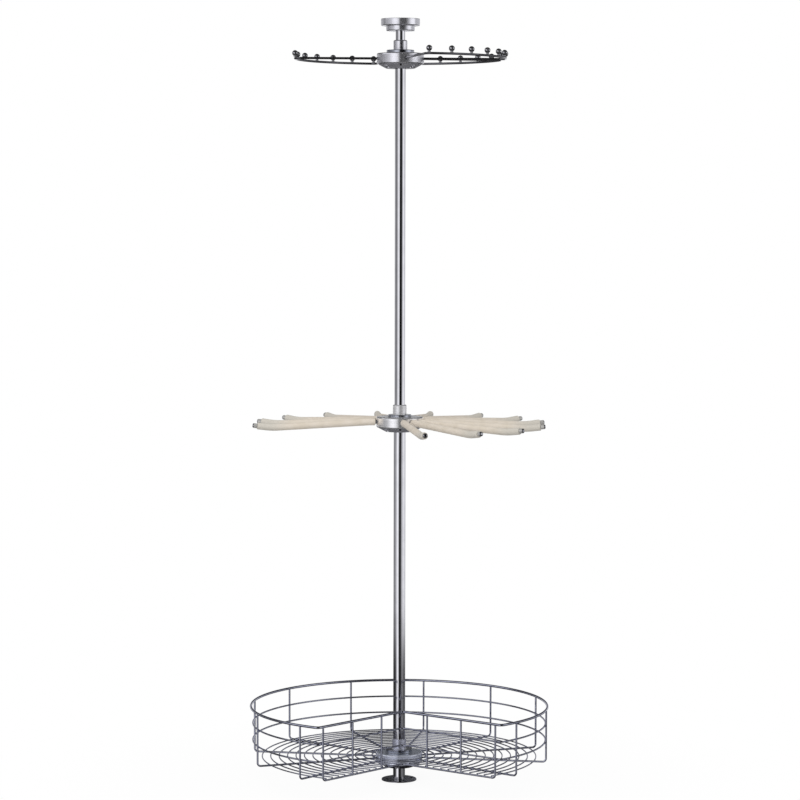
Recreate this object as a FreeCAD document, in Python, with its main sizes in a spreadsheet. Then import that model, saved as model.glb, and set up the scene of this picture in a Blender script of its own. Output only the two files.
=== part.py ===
import FreeCAD, Part
import math
import os
import Sketcher

# Revolving corner clothes rack: a telescopic pole between floor and ceiling carries three tiers that
# turn by themselves, a hanger ring with ball pegs, a fan of trouser arms and a wire basket.
# +Z is up and the origin is the centre of the floor flange's underside.
# Each tier is drawn with its open notch along +X and its hub's foot at height 0, then placed.

doc = FreeCAD.newDocument("corner_clothes_rack")
sheet = doc.addObject("Spreadsheet::Sheet", "sizes")

DRIVING_SIZES = {
    # Fits and clearances, radial or axial
    "fixed_gap": 0.05,
    "running_gap": 0.08,
    "weld_gap": 0.15,
    "face_gap": 0.5,
    # Pole
    "lower_tube_diameter": 28,
    "tube_wall": 1,
    "tube_slide_gap": 0.5,
    "middle_tube_overlap": 200,
    "upper_tube_overlap": 260,
    "upper_tube_exposed": 21,
    "collar_diameter": 32,
    "collar_height": 22,
    "collar_lip": 8,
    "collar_chamfer": 2,
    "plug_head": 12,
    "plug_spigot": 15,
    "plug_bore": 6,
    "grub_diameter": 5,
    "grub_socket": 2.5,
    "grub_recess": 0.5,
    # Floor flange
    "floor_diameter": 82,
    "floor_thickness": 3,
    "floor_chamfer": 1,
    "floor_spigot": 20,
    "floor_spigot_bore": 12,
    "floor_hole_circle": 58,
    "floor_hole_diameter": 5,
    "floor_hole_angle": 15,
    "floor_hole_count": 4,
    # Ceiling flange
    "ceiling_diameter": 90,
    "ceiling_thickness": 16,
    "ceiling_step_diameter": 66,
    "ceiling_step_height": 12,
    "ceiling_edge_radius": 2,
    "ceiling_socket": 20,
    "ceiling_vent": 12,
    "ceiling_hole_circle": 76,
    "ceiling_hole_diameter": 5,
    "ceiling_hole_angle": 30,
    "ceiling_hole_count": 3,
    # Hubs of the tiers
    "notch_angle": 90,
    "hanger_hub_base": 1660.5,
    "trouser_hub_base": 820,
    "basket_hub_base": 32,
    "hanger_turn_angle": 234,
    "trouser_turn_angle": 234.5,
    "basket_turn_angle": 275,
    "drum_diameter": 109,
    "drum_height": 25,
    "drum_top": 6,
    "drum_edge_radius": 3,
    "hanger_boss_diameter": 64,
    "trouser_boss_diameter": 54,
    "basket_boss_diameter": 63,
    "hanger_boss_height": 7.5,
    "trouser_boss_height": 5,
    "basket_boss_height": 7.5,
    "boss_edge_radius": 1.5,
    "bowl_height": 10,
    "bowl_top_diameter": 104,
    "bowl_bottom_diameter": 66,
    "bowl_edge_radius": 4,
    "bowl_floor": 3,
    "bowl_wall": 4,
    "bowl_bore_gap": 1,
    "access_hole_diameter": 5,
    "access_hole_angle": 37,
    "hub_screw_circle": 80,
    "hub_screw_angle": 78,
    "hub_screw_count": 4,
    "hub_screw_diameter": 4,
    "hub_screw_length": 10,
    "hub_screw_head": 7.5,
    "hub_screw_head_height": 2,
    "hub_screw_slot": 1.2,
    "hub_screw_seat": 7.8,
    "hub_screw_post": 12,
    "hub_screw_clearance": 0.5,
    "support_width": 9,
    "support_height": 7,
    "support_lift": 0.5,
    "support_groove": 7,
    "bush_wall": 2.5,
    "bush_flange_width": 6,
    "bush_flange_thickness": 3,
    "housing_wall": 4,
    # Hanger ring
    "hanger_level": 23,
    "hanger_radius": 243,
    "hanger_rod": 5.5,
    "hanger_loop_count": 3,
    "hanger_loop_gap_angle": 10,
    "hanger_bend": 14,
    "hanger_socket": 14,
    "peg_count": 7,
    "peg_pitch_angle": 12.9,
    "peg_ball": 13.5,
    "peg_ball_height": 11.5,
    "peg_stud": 6.5,
    # Trouser arms
    "arm_count": 13,
    "arm_level": 23,
    "arm_rod": 8,
    "arm_socket": 20,
    "arm_straight": 75,
    "arm_droop": 10.5,
    "arm_tip_radius": 344.5,
    "arm_turn_up": 46,
    "arm_tip_rise": 5.5,
    "arm_first_bend": 300,
    "arm_second_bend": 160,
    "sleeve_diameter": 16,
    "sleeve_start_gap": 3.5,
    "sleeve_end_gap": 11,
    "cap_diameter": 11,
    "cap_length": 10.5,
    "cap_cover": 5.5,
    "cap_edge_radius": 3.5,
    # Wire basket
    "basket_diameter": 700,
    "basket_height": 122.5,
    "basket_spoke_level": 22.5,
    "basket_notch_angle": 95,
    "basket_notch_offset": 66,
    "basket_corner_radius": 10,
    "basket_apex_radius": 10.5,
    "basket_bend": 8,
    "rim_wire": 6,
    "hoop_wire": 4,
    "hoop_pitch": 39.5,
    "rib_wire": 4.5,
    "rib_count": 10,
    "rib_socket": 8,
    "corner_post_margin": 8,
    "side_post_pitch": 96.3,
    "side_post_count": 2,
    "floor_wire": 3,
    "floor_arc_pitch": 19.75,
    "floor_arc_inner_margin": 9.5,
    "floor_arc_outer_margin": 24,
}

for row, (alias, number) in enumerate(DRIVING_SIZES.items(), start=1):
    sheet.set(f"A{row}", alias)
    sheet.set(f"B{row}", str(number))
    sheet.setAlias(f"B{row}", alias)
doc.recompute()

# Sizes and levels that follow from the driving ones
LOWER_RADIUS = "(sizes.lower_tube_diameter / 2)"
LOWER_BORE = f"({LOWER_RADIUS} - sizes.tube_wall)"
MIDDLE_RADIUS = f"({LOWER_BORE} - sizes.tube_slide_gap)"
MIDDLE_BORE = f"({MIDDLE_RADIUS} - sizes.tube_wall)"
UPPER_RADIUS = f"({MIDDLE_BORE} - sizes.tube_slide_gap)"
UPPER_BORE = f"({UPPER_RADIUS} - sizes.tube_wall)"
TUBE_RADIUS = {"hanger": MIDDLE_RADIUS, "trouser": LOWER_RADIUS, "basket": LOWER_RADIUS}

DRUM_RADIUS = "(sizes.drum_diameter / 2)"
DRUM_FACE = "(sizes.bowl_height + sizes.drum_height)"
HUB_HEIGHT = {
    tier: f"({DRUM_FACE} + sizes.{tier}_boss_height)"
    for tier in ("hanger", "trouser", "basket")
}
HUB_TOP = {
    tier: f"(sizes.{tier}_hub_base + {height})"
    for tier, height in HUB_HEIGHT.items()
}
SUPPORT_FOOT = "(sizes.bowl_floor + sizes.support_lift)"
SUPPORT_FACE = f"({SUPPORT_FOOT} + sizes.support_height)"
BUSH_SHOULDER = f"({SUPPORT_FACE} + sizes.bush_flange_thickness)"

MIDDLE_COLLAR = f"({HUB_TOP['trouser']} + sizes.face_gap)"
UPPER_COLLAR = f"({HUB_TOP['hanger']} + sizes.face_gap)"
COLLAR_SEAT = "(sizes.collar_height - sizes.collar_lip)"
LOWER_TUBE_TOP = f"({MIDDLE_COLLAR} + {COLLAR_SEAT})"
MIDDLE_TUBE_FOOT = f"({LOWER_TUBE_TOP} - sizes.middle_tube_overlap)"
MIDDLE_TUBE_TOP = f"({UPPER_COLLAR} + {COLLAR_SEAT})"
UPPER_TUBE_FOOT = f"({MIDDLE_TUBE_TOP} - sizes.upper_tube_overlap)"
CEILING_STEP = f"({UPPER_COLLAR} + sizes.collar_height + sizes.upper_tube_exposed)"
UPPER_TUBE_TOP = f"({CEILING_STEP} + sizes.ceiling_socket)"

ORIGIN = FreeCAD.Vector(0, 0, 0)
UP = FreeCAD.Vector(0, 0, 1)
nodes = []


def value(expression):
    """The number that a sheet expression comes to."""
    return float(sheet.evalExpression(expression))


def polar(angle, radius, height):
    """A point at an angle in degrees, a radius and a height."""
    turn = math.radians(angle)
    return FreeCAD.Vector(radius * math.cos(turn), radius * math.sin(turn), height)


def turned_by(angle):
    """A placement that only turns about Z, by an angle in degrees."""
    return FreeCAD.Placement(ORIGIN, FreeCAD.Rotation(UP, angle))


def keep(label, piece):
    """Name a finished piece and list it as a node."""
    piece.Label = label
    nodes.append(piece)


def place_on_tier(piece, tier):
    """Lift a piece to its tier's height and turn it to the tier's notch direction."""
    piece.Placement = turned_by(0)
    piece.setExpression("Placement.Base.z", f"sizes.{tier}_hub_base")
    piece.setExpression("Placement.Rotation.Angle", f"sizes.{tier}_turn_angle")


def turned(label, profile):
    """A body turned about Z from the corners of its half section, each a radius and a height."""
    body = doc.addObject("PartDesign::Body", label)
    planes = {plane.Role: plane for plane in body.Origin.OriginFeatures}
    sketch = body.newObject("Sketcher::SketchObject", f"{label}_section")
    sketch.AttachmentSupport = (planes["XZ_Plane"], [""])
    sketch.MapMode = "FlatFace"
    corners = [FreeCAD.Vector(value(radius), value(height), 0) for radius, height in profile]
    for first, last in zip(corners, corners[1:] + corners[:1]):
        sketch.addGeometry(Part.LineSegment(first, last), False)
    for index, (radius, height) in enumerate(profile):
        following = (index + 1) % len(profile)
        sketch.addConstraint(Sketcher.Constraint("Coincident", index, 2, following, 1))
        across = Sketcher.Constraint("DistanceX", -1, 1, index, 1, corners[index].x)
        sketch.setExpression(f"Constraints[{sketch.addConstraint(across)}]", radius)
        upward = Sketcher.Constraint("DistanceY", -1, 1, index, 1, corners[index].y)
        sketch.setExpression(f"Constraints[{sketch.addConstraint(upward)}]", height)
    revolution = body.newObject("PartDesign::Revolution", f"{label}_turned")
    revolution.Profile = sketch
    revolution.ReferenceAxis = (sketch, ["V_Axis"])
    revolution.Angle = 360
    doc.recompute()
    return body


def round_edges(body, circles, radius):
    """Round a turned body's circular edges, each given by its radius and height."""
    base = body.Tip
    wanted = [(value(across), value(height)) for across, height in circles]
    names = []
    for number, edge in enumerate(base.Shape.Edges, start=1):
        if not isinstance(edge.Curve, Part.Circle):
            continue
        for across, height in wanted:
            if abs(edge.Curve.Radius - across) < 1e-6 and abs(edge.Curve.Center.z - height) < 1e-6:
                names.append(f"Edge{number}")
    fillet = body.newObject("PartDesign::Fillet", f"{body.Name}_rounding")
    fillet.Base = (base, names)
    fillet.setExpression("Radius", radius)
    doc.recompute()


def cylinder(label, radius, height, foot, direction=UP):
    """A cylinder from a foot point along a direction."""
    piece = doc.addObject("Part::Cylinder", label)
    piece.setExpression("Radius", radius)
    piece.setExpression("Height", height)
    piece.Placement = FreeCAD.Placement(foot, FreeCAD.Rotation(UP, direction))
    return piece


def compound(label, pieces):
    """Several shapes held together as one object."""
    together = doc.addObject("Part::Compound", label)
    together.Links = pieces
    return together


def cut(label, base, tools):
    """A base with all the tools taken out of it."""
    piece = doc.addObject("Part::Cut", label)
    piece.Base = base
    piece.Tool = compound(f"{label}_holes", tools)
    doc.recompute()
    return piece


def copies(label, master, spots):
    """Identical separate pieces in one object: the master's shape at each spot."""
    piece = doc.addObject("Part::Feature", label)
    solids = []
    for spot in spots:
        solid = master.Shape.copy()
        solid.Placement = spot
        solids.append(solid)
    piece.Shape = Part.makeCompound(solids)
    return piece


def bent_path(points, radii):
    """Straight runs from point to point, joined by tangent arcs of the given radii."""
    edges = []
    start = points[0]
    for before, corner, after, radius in zip(points, points[1:], points[2:], radii):
        back = (before - corner).normalize()
        ahead = (after - corner).normalize()
        half = back.getAngle(ahead) / 2
        first = corner + back * (radius / math.tan(half))
        last = corner + ahead * (radius / math.tan(half))
        middle = corner + (back + ahead).normalize() * (radius / math.sin(half) - radius)
        edges.append(Part.LineSegment(start, first).toShape())
        edges.append(Part.Arc(first, middle, last).toShape())
        start = last
    edges.append(Part.LineSegment(start, points[-1]).toShape())
    return Part.Wire(edges)


def round_wire(path, diameter):
    """A solid round wire along a path, proved by its volume."""
    first = path.OrderedEdges[0]
    start = path.OrderedVertexes[0].Point
    section = Part.Wire(Part.makeCircle(diameter / 2, start, first.tangentAt(first.FirstParameter)))
    solid = path.makePipeShell([section], True, False)
    expected = path.Length * math.pi * diameter**2 / 4
    if abs(solid.Volume - expected) > 0.01 * expected:
        raise ValueError(f"wire volume {solid.Volume:.1f}, expected {expected:.1f}")
    return solid


def shaped(label, shape):
    """A piece whose shape is worked out from the sheet's values."""
    piece = doc.addObject("Part::Feature", label)
    piece.Shape = shape
    return piece


# Floor flange: a plate with fixing holes and a spigot that the lower tube stands over
floor_blank = turned("floor_flange_blank", [
    ("sizes.floor_spigot_bore / 2", "0"),
    ("sizes.floor_diameter / 2", "0"),
    ("sizes.floor_diameter / 2", "sizes.floor_thickness - sizes.floor_chamfer"),
    ("sizes.floor_diameter / 2 - sizes.floor_chamfer", "sizes.floor_thickness"),
    (f"{LOWER_BORE} - sizes.fixed_gap", "sizes.floor_thickness"),
    (f"{LOWER_BORE} - sizes.fixed_gap", "sizes.floor_thickness + sizes.floor_spigot"),
    ("sizes.floor_spigot_bore / 2", "sizes.floor_thickness + sizes.floor_spigot"),
])


def fixing_holes(place, foot, depth):
    """The round of fixing holes of a flange."""
    count = int(value(f"sizes.{place}_hole_count"))
    holes = []
    for index in range(count):
        angle = value(f"sizes.{place}_hole_angle") + 360 / count * index
        spot = polar(angle, value(f"sizes.{place}_hole_circle / 2"), value(foot))
        holes.append(cylinder(f"{place}_hole_{index}", f"sizes.{place}_hole_diameter / 2", depth, spot))
    return holes


keep("floor_flange", cut("floor_flange", floor_blank, fixing_holes("floor", "0", "sizes.floor_thickness")))


# Three tubes, each sliding in the one below
def tube(label, outer, bore, foot, top):
    """A plain length of tube."""
    keep(label, turned(label, [(bore, foot), (outer, foot), (outer, top), (bore, top)]))


tube("lower_tube", LOWER_RADIUS, LOWER_BORE, "sizes.floor_thickness", LOWER_TUBE_TOP)
tube("middle_tube", MIDDLE_RADIUS, MIDDLE_BORE, MIDDLE_TUBE_FOOT, MIDDLE_TUBE_TOP)
tube("upper_tube", UPPER_RADIUS, UPPER_BORE, UPPER_TUBE_FOOT, UPPER_TUBE_TOP)


# Ferrules on the tops of the lower and middle tubes, whose lips guide the tube inside
def guide_collar(label, foot, outer_tube, inner_tube):
    """A collar seated on a tube's end, with a lip that runs on the next tube."""
    top = f"{foot} + sizes.collar_height"
    seat = f"{foot} + {COLLAR_SEAT}"
    keep(label, turned(label, [
        (f"{outer_tube} + sizes.fixed_gap", foot),
        ("sizes.collar_diameter / 2", foot),
        ("sizes.collar_diameter / 2", f"{top} - sizes.collar_chamfer"),
        ("sizes.collar_diameter / 2 - sizes.collar_chamfer", top),
        (f"{inner_tube} + sizes.running_gap", top),
        (f"{inner_tube} + sizes.running_gap", seat),
        (f"{outer_tube} + sizes.fixed_gap", seat),
    ]))


guide_collar("middle_collar", MIDDLE_COLLAR, LOWER_RADIUS, MIDDLE_RADIUS)
guide_collar("upper_collar", UPPER_COLLAR, MIDDLE_RADIUS, UPPER_RADIUS)


# Nylon plugs at the feet of the sliding tubes, which grip the tube around them
def lock_plug(label, foot, outer_bore, inner_bore):
    """A plug with its head in the outer tube and its spigot in the inner one."""
    head = f"{outer_bore} - sizes.running_gap"
    spigot = f"{inner_bore} - sizes.fixed_gap"
    keep(label, turned(label, [
        ("sizes.plug_bore / 2", f"{foot} - sizes.plug_head"),
        (head, f"{foot} - sizes.plug_head"),
        (head, foot),
        (spigot, foot),
        (spigot, f"{foot} + sizes.plug_spigot"),
        ("sizes.plug_bore / 2", f"{foot} + sizes.plug_spigot"),
    ]))


lock_plug("middle_lock_plug", MIDDLE_TUBE_FOOT, LOWER_BORE, MIDDLE_BORE)
lock_plug("upper_lock_plug", UPPER_TUBE_FOOT, MIDDLE_BORE, UPPER_BORE)


# Grub screw with its hexagon socket, lying along +X from its tip
def grub_screw(label, length):
    """A grub screw of one length, tip at the origin, pointing away from +X."""
    blank = cylinder(f"{label}_blank", "sizes.grub_diameter / 2", length, ORIGIN, FreeCAD.Vector(1, 0, 0))
    socket = doc.addObject("Part::Prism", f"{label}_socket")
    socket.Polygon = 6
    socket.setExpression("Circumradius", "sizes.grub_socket / 2")
    socket.setExpression("Height", "sizes.grub_socket")
    mouth = FreeCAD.Vector(value(f"{length} - sizes.grub_socket"), 0, 0)
    socket.Placement = FreeCAD.Placement(mouth, FreeCAD.Rotation(UP, FreeCAD.Vector(1, 0, 0)))
    return cut(label, blank, [socket])


# Ceiling flange: a thick disc with a step that sockets the upper tube
ceiling_top = f"{CEILING_STEP} + sizes.ceiling_step_height + sizes.ceiling_thickness"
ceiling_shoulder = f"{CEILING_STEP} + sizes.ceiling_step_height"
ceiling_blank = turned("ceiling_flange_blank", [
    (f"{UPPER_RADIUS} + sizes.fixed_gap", CEILING_STEP),
    ("sizes.ceiling_step_diameter / 2", CEILING_STEP),
    ("sizes.ceiling_step_diameter / 2", ceiling_shoulder),
    ("sizes.ceiling_diameter / 2", ceiling_shoulder),
    ("sizes.ceiling_diameter / 2", ceiling_top),
    ("sizes.ceiling_vent / 2", ceiling_top),
    ("sizes.ceiling_vent / 2", UPPER_TUBE_TOP),
    (f"{UPPER_RADIUS} + sizes.fixed_gap", UPPER_TUBE_TOP),
])
round_edges(ceiling_blank, [
    ("sizes.ceiling_step_diameter / 2", CEILING_STEP),
    ("sizes.ceiling_diameter / 2", ceiling_shoulder),
], "sizes.ceiling_edge_radius")
ceiling_grub_length = (
    f"sizes.ceiling_step_diameter / 2 - sizes.grub_recess - {UPPER_RADIUS} - sizes.fixed_gap"
)
ceiling_grub_level = value(f"{CEILING_STEP} + sizes.ceiling_step_height / 2")
ceiling_grub_hole = cylinder(
    "ceiling_grub_hole",
    "sizes.grub_diameter / 2 + sizes.fixed_gap",
    f"sizes.ceiling_step_diameter / 2 - {UPPER_RADIUS}",
    polar(90, value(UPPER_RADIUS), ceiling_grub_level),
    polar(90, 1, 0),
)
ceiling_holes = fixing_holes("ceiling", ceiling_shoulder, "sizes.ceiling_thickness")
keep("ceiling_flange", cut("ceiling_flange", ceiling_blank, ceiling_holes + [ceiling_grub_hole]))
ceiling_tip = polar(90, value(f"{UPPER_RADIUS} + sizes.fixed_gap"), ceiling_grub_level)
keep("ceiling_screw", copies(
    "ceiling_screw",
    grub_screw("ceiling_grub", ceiling_grub_length),
    [FreeCAD.Placement(ceiling_tip, FreeCAD.Rotation(UP, 90))],
))

# Ferrule that covers the gap above the basket hub
basket_collar_foot = f"({HUB_TOP['basket']} + sizes.face_gap)"
basket_collar_top = f"({basket_collar_foot} + sizes.collar_height)"
keep("basket_collar", turned("basket_collar", [
    (f"{LOWER_RADIUS} + sizes.fixed_gap", basket_collar_foot),
    ("sizes.collar_diameter / 2", basket_collar_foot),
    ("sizes.collar_diameter / 2", f"{basket_collar_top} - sizes.collar_chamfer / 2"),
    ("sizes.collar_diameter / 2 - sizes.collar_chamfer / 2", basket_collar_top),
    (f"{LOWER_RADIUS} + sizes.fixed_gap", basket_collar_top),
]))


# Support rings, clamped on the tubes inside the hubs, with two grub screws each
support_grub = grub_screw("support_grub", "sizes.support_width - sizes.fixed_gap - sizes.grub_recess")


def grub_spots(tier):
    """Where a support ring's two grub screws have their tips, on the tube."""
    level = value(f"{SUPPORT_FOOT} + sizes.support_height / 2")
    tip = value(f"{TUBE_RADIUS[tier]} + sizes.fixed_gap")
    return [
        FreeCAD.Placement(polar(angle, tip, level), FreeCAD.Rotation(UP, angle))
        for angle in (value("sizes.access_hole_angle"), value("sizes.access_hole_angle") + 180)
    ]


def support_ring(tier):
    """A ring on the tube that carries the tier's bush on its upper face."""
    label = f"{tier}_support_ring"
    inner = f"{TUBE_RADIUS[tier]} + sizes.fixed_gap"
    outer = f"{TUBE_RADIUS[tier]} + sizes.support_width"
    blank = turned(f"{label}_blank", [
        (inner, SUPPORT_FOOT),
        (outer, SUPPORT_FOOT),
        (outer, SUPPORT_FACE),
        (inner, SUPPORT_FACE),
    ])
    holes = []
    for index, spot in enumerate(grub_spots(tier)):
        hole = cylinder(
            f"{label}_hole_{index}",
            "sizes.grub_diameter / 2 + sizes.fixed_gap",
            "sizes.support_width",
            spot.Base,
            spot.Rotation.multVec(FreeCAD.Vector(1, 0, 0)),
        )
        holes.append(hole)
    ring = cut(label, blank, holes)
    place_on_tier(ring, tier)
    keep(label, ring)


for tier in ("hanger", "trouser", "basket"):
    support_ring(tier)


def tier_spots(tier):
    """A tier's grub screw spots, in the rack's frame."""
    turn = FreeCAD.Rotation(UP, value(f"sizes.{tier}_turn_angle"))
    home = FreeCAD.Placement(UP * value(f"sizes.{tier}_hub_base"), turn)
    return [home.multiply(spot) for spot in grub_spots(tier)]


keep("support_screws", copies("support_screws", support_grub, tier_spots("trouser") + tier_spots("basket")))
keep("hanger_support_screws", copies("hanger_support_screws", support_grub, tier_spots("hanger")))


# Hubs: a bush on the tube, a drum that holds the rods and a bowl screwed on from below
def bush(tier):
    """A flanged nylon bush that turns on the tube and rests on the support ring."""
    inner = f"{TUBE_RADIUS[tier]} + sizes.running_gap"
    outer = f"{inner} + sizes.bush_wall"
    piece = turned(f"{tier}_bush", [
        (inner, SUPPORT_FACE),
        (f"{outer} + sizes.bush_flange_width", SUPPORT_FACE),
        (f"{outer} + sizes.bush_flange_width", BUSH_SHOULDER),
        (outer, BUSH_SHOULDER),
        (outer, HUB_HEIGHT[tier]),
        (inner, HUB_HEIGHT[tier]),
    ])
    place_on_tier(piece, tier)
    keep(f"{tier}_bush", piece)


def screw_spots(height):
    """Points of the hub screws at one height."""
    count = int(value("sizes.hub_screw_count"))
    start = value("sizes.hub_screw_angle")
    return [
        polar(start + 360 / count * index, value("sizes.hub_screw_circle / 2"), value(height))
        for index in range(count)
    ]


def drum(tier, sockets):
    """The hub's upper casting: drum and boss over the bush, with radial sockets for the rods."""
    label = f"{tier}_drum"
    bore = f"{TUBE_RADIUS[tier]} + sizes.running_gap + sizes.bush_wall + sizes.fixed_gap"
    housing = f"{bore} + sizes.housing_wall"
    groove = f"{TUBE_RADIUS[tier]} + sizes.support_width + sizes.support_groove"
    groove_top = f"{DRUM_FACE} - sizes.drum_top"
    boss = f"sizes.{tier}_boss_diameter / 2"
    blank = turned(f"{label}_blank", [
        (bore, BUSH_SHOULDER),
        (bore, HUB_HEIGHT[tier]),
        (boss, HUB_HEIGHT[tier]),
        (boss, DRUM_FACE),
        (DRUM_RADIUS, DRUM_FACE),
        (DRUM_RADIUS, "sizes.bowl_height"),
        (groove, "sizes.bowl_height"),
        (groove, groove_top),
        (housing, groove_top),
        (housing, BUSH_SHOULDER),
    ])
    drum_rims = [(DRUM_RADIUS, DRUM_FACE), (DRUM_RADIUS, "sizes.bowl_height")]
    round_edges(blank, drum_rims, "sizes.drum_edge_radius")
    round_edges(blank, [(boss, HUB_HEIGHT[tier])], "sizes.boss_edge_radius")
    screw_reach = "sizes.hub_screw_seat + sizes.hub_screw_length - sizes.bowl_height"
    holes = []
    for index, spot in enumerate(screw_spots("sizes.bowl_height")):
        depth = f"{screw_reach} + sizes.hub_screw_clearance"
        radius = "sizes.hub_screw_diameter / 2 + sizes.fixed_gap"
        holes.append(cylinder(f"{label}_screw_hole_{index}", radius, depth, spot))
    for index, (angle, level, rod, depth) in enumerate(sockets):
        floor = value(f"{DRUM_RADIUS} - {depth}")
        radius = f"{rod} / 2 + sizes.fixed_gap"
        mouth = polar(angle, floor, value(level))
        holes.append(cylinder(f"{label}_socket_{index}", radius, depth, mouth, polar(angle, 1, 0)))
    piece = cut(label, blank, holes)
    place_on_tier(piece, tier)
    keep(label, piece)


def bowl(tier):
    """The hub's lower casting: a hollow bowl with screw posts, open at the tube."""
    label = f"{tier}_bowl"
    blank = doc.addObject("Part::Cone", f"{label}_blank")
    blank.setExpression("Radius1", "sizes.bowl_bottom_diameter / 2")
    blank.setExpression("Radius2", "sizes.bowl_top_diameter / 2")
    blank.setExpression("Height", "sizes.bowl_height")
    doc.recompute()
    rounded = doc.addObject("Part::Fillet", f"{label}_rounded")
    rounded.Base = blank
    edge_radius = value("sizes.bowl_edge_radius")
    foot_edges = [
        (number, edge_radius, edge_radius)
        for number, edge in enumerate(blank.Shape.Edges, start=1)
        if isinstance(edge.Curve, Part.Circle) and edge.Curve.Center.z < value("sizes.bowl_height / 2")
    ]
    rounded.Edges = foot_edges
    spread = "(sizes.bowl_top_diameter - sizes.bowl_bottom_diameter) / 2"
    floor_radius = f"sizes.bowl_bottom_diameter / 2 + {spread} * sizes.bowl_floor / sizes.bowl_height"
    hollow = doc.addObject("Part::Cone", f"{label}_hollow")
    hollow.setExpression("Radius1", f"{floor_radius} - sizes.bowl_wall")
    hollow.setExpression("Radius2", "sizes.bowl_top_diameter / 2 - sizes.bowl_wall")
    hollow.setExpression("Height", "sizes.bowl_height - sizes.bowl_floor")
    hollow.setExpression("Placement.Base.z", "sizes.bowl_floor")
    posts = []
    recesses = []
    for index, spot in enumerate(screw_spots("0")):
        radius = "sizes.hub_screw_diameter / 2 + sizes.fixed_gap"
        recess = "sizes.hub_screw_head / 2 + sizes.hub_screw_clearance"
        post = "sizes.hub_screw_post / 2"
        posts.append(cylinder(f"{label}_post_{index}", post, "sizes.bowl_height", spot))
        recesses.append(cylinder(f"{label}_recess_{index}", recess, "sizes.hub_screw_seat", spot))
        recesses.append(cylinder(f"{label}_hole_{index}", radius, "sizes.bowl_height", spot))
    cavity = cut(f"{label}_cavity", hollow, posts)
    bore = f"{TUBE_RADIUS[tier]} + sizes.bowl_bore_gap"
    mouth = cylinder(f"{label}_mouth", bore, "sizes.bowl_floor", ORIGIN)
    access_angle = value("sizes.access_hole_angle")
    access_level = value(f"{SUPPORT_FOOT} + sizes.support_height / 2")
    access = cylinder(
        f"{label}_access",
        "sizes.access_hole_diameter / 2",
        "sizes.bowl_top_diameter / 2 - sizes.bowl_bottom_diameter / 2 + sizes.bowl_wall",
        polar(access_angle, value("sizes.bowl_bottom_diameter / 2"), access_level),
        polar(access_angle, 1, 0),
    )
    piece = cut(label, rounded, [cavity, mouth, access] + recesses)
    place_on_tier(piece, tier)
    keep(label, piece)


def hub_screw():
    """A slotted pan-head screw, its head's seat at the hub screw seat, pointing up."""
    seat = UP * value("sizes.hub_screw_seat")
    shank = cylinder("hub_screw_shank", "sizes.hub_screw_diameter / 2", "sizes.hub_screw_length", seat)
    head_foot = UP * value("sizes.hub_screw_seat - sizes.hub_screw_head_height")
    head = cylinder("hub_screw_head", "sizes.hub_screw_head / 2", "sizes.hub_screw_head_height", head_foot)
    whole = doc.addObject("Part::Fuse", "hub_screw_blank")
    whole.Base = shank
    whole.Tool = head
    slot = doc.addObject("Part::Box", "hub_screw_slot_cutter")
    slot.setExpression("Length", "sizes.hub_screw_head")
    slot.setExpression("Width", "sizes.hub_screw_slot")
    slot.setExpression("Height", "sizes.hub_screw_slot")
    corner = FreeCAD.Vector(value("-sizes.hub_screw_head / 2"), value("-sizes.hub_screw_slot / 2"), 0)
    slot.Placement = FreeCAD.Placement(corner + head_foot, FreeCAD.Rotation())
    return cut("hub_screw", whole, [slot])


hub_screw_master = hub_screw()


def hub_screws(tier):
    """The screws that hold a tier's bowl to its drum."""
    spots = [FreeCAD.Placement(spot, FreeCAD.Rotation()) for spot in screw_spots("0")]
    piece = copies(f"{tier}_hub_screws", hub_screw_master, spots)
    place_on_tier(piece, tier)
    keep(f"{tier}_hub_screws", piece)


half_notch = value("sizes.notch_angle / 2")
fan = 360 - 2 * half_notch

# Hanger ring: three bent rod loops, each a sector of the ring, with ball pegs standing on them
loop_count = int(value("sizes.hanger_loop_count"))
loop_pitch = fan / loop_count
loop_half = (loop_pitch - value("sizes.hanger_loop_gap_angle")) / 2
loop_middles = [half_notch + loop_pitch * (index + 0.5) for index in range(loop_count)]
loop_ends = [middle + side * loop_half for middle in loop_middles for side in (-1, 1)]
drum("hanger", [
    (angle, "sizes.hanger_level", "sizes.hanger_rod", "sizes.hanger_socket")
    for angle in loop_ends
])
bowl("hanger")
bush("hanger")
hub_screws("hanger")


def loop_path():
    """Out from the hub, round a bend, along the ring's arc, round a bend and back, about +X."""
    radius = value("sizes.hanger_radius")
    bend = value("sizes.hanger_bend")
    level = value("sizes.hanger_level")
    root = value(f"{DRUM_RADIUS} - sizes.hanger_socket + sizes.weld_gap")
    lean = math.degrees(math.asin(bend / (radius - bend)))
    turn_start = math.sqrt((radius - bend) ** 2 - bend**2)
    edges = []
    for side in (-1, 1):
        bend_centre = polar(side * (loop_half - lean), radius - bend, level)
        run_end = polar(side * loop_half, turn_start, level)
        arc_end = polar(side * (loop_half - lean), radius, level)
        outward = (run_end - bend_centre) + (arc_end - bend_centre)
        bend_middle = bend_centre + outward.normalize() * bend
        run = Part.LineSegment(polar(side * loop_half, root, level), run_end).toShape()
        corner = Part.Arc(run_end, bend_middle, arc_end).toShape()
        edges.append([run, corner])
    ends = [polar(side * (loop_half - lean), radius, level) for side in (-1, 1)]
    arc = Part.Arc(ends[0], polar(0, radius, level), ends[1]).toShape()
    return Part.Wire(edges[0] + [arc] + edges[1][::-1])


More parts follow.
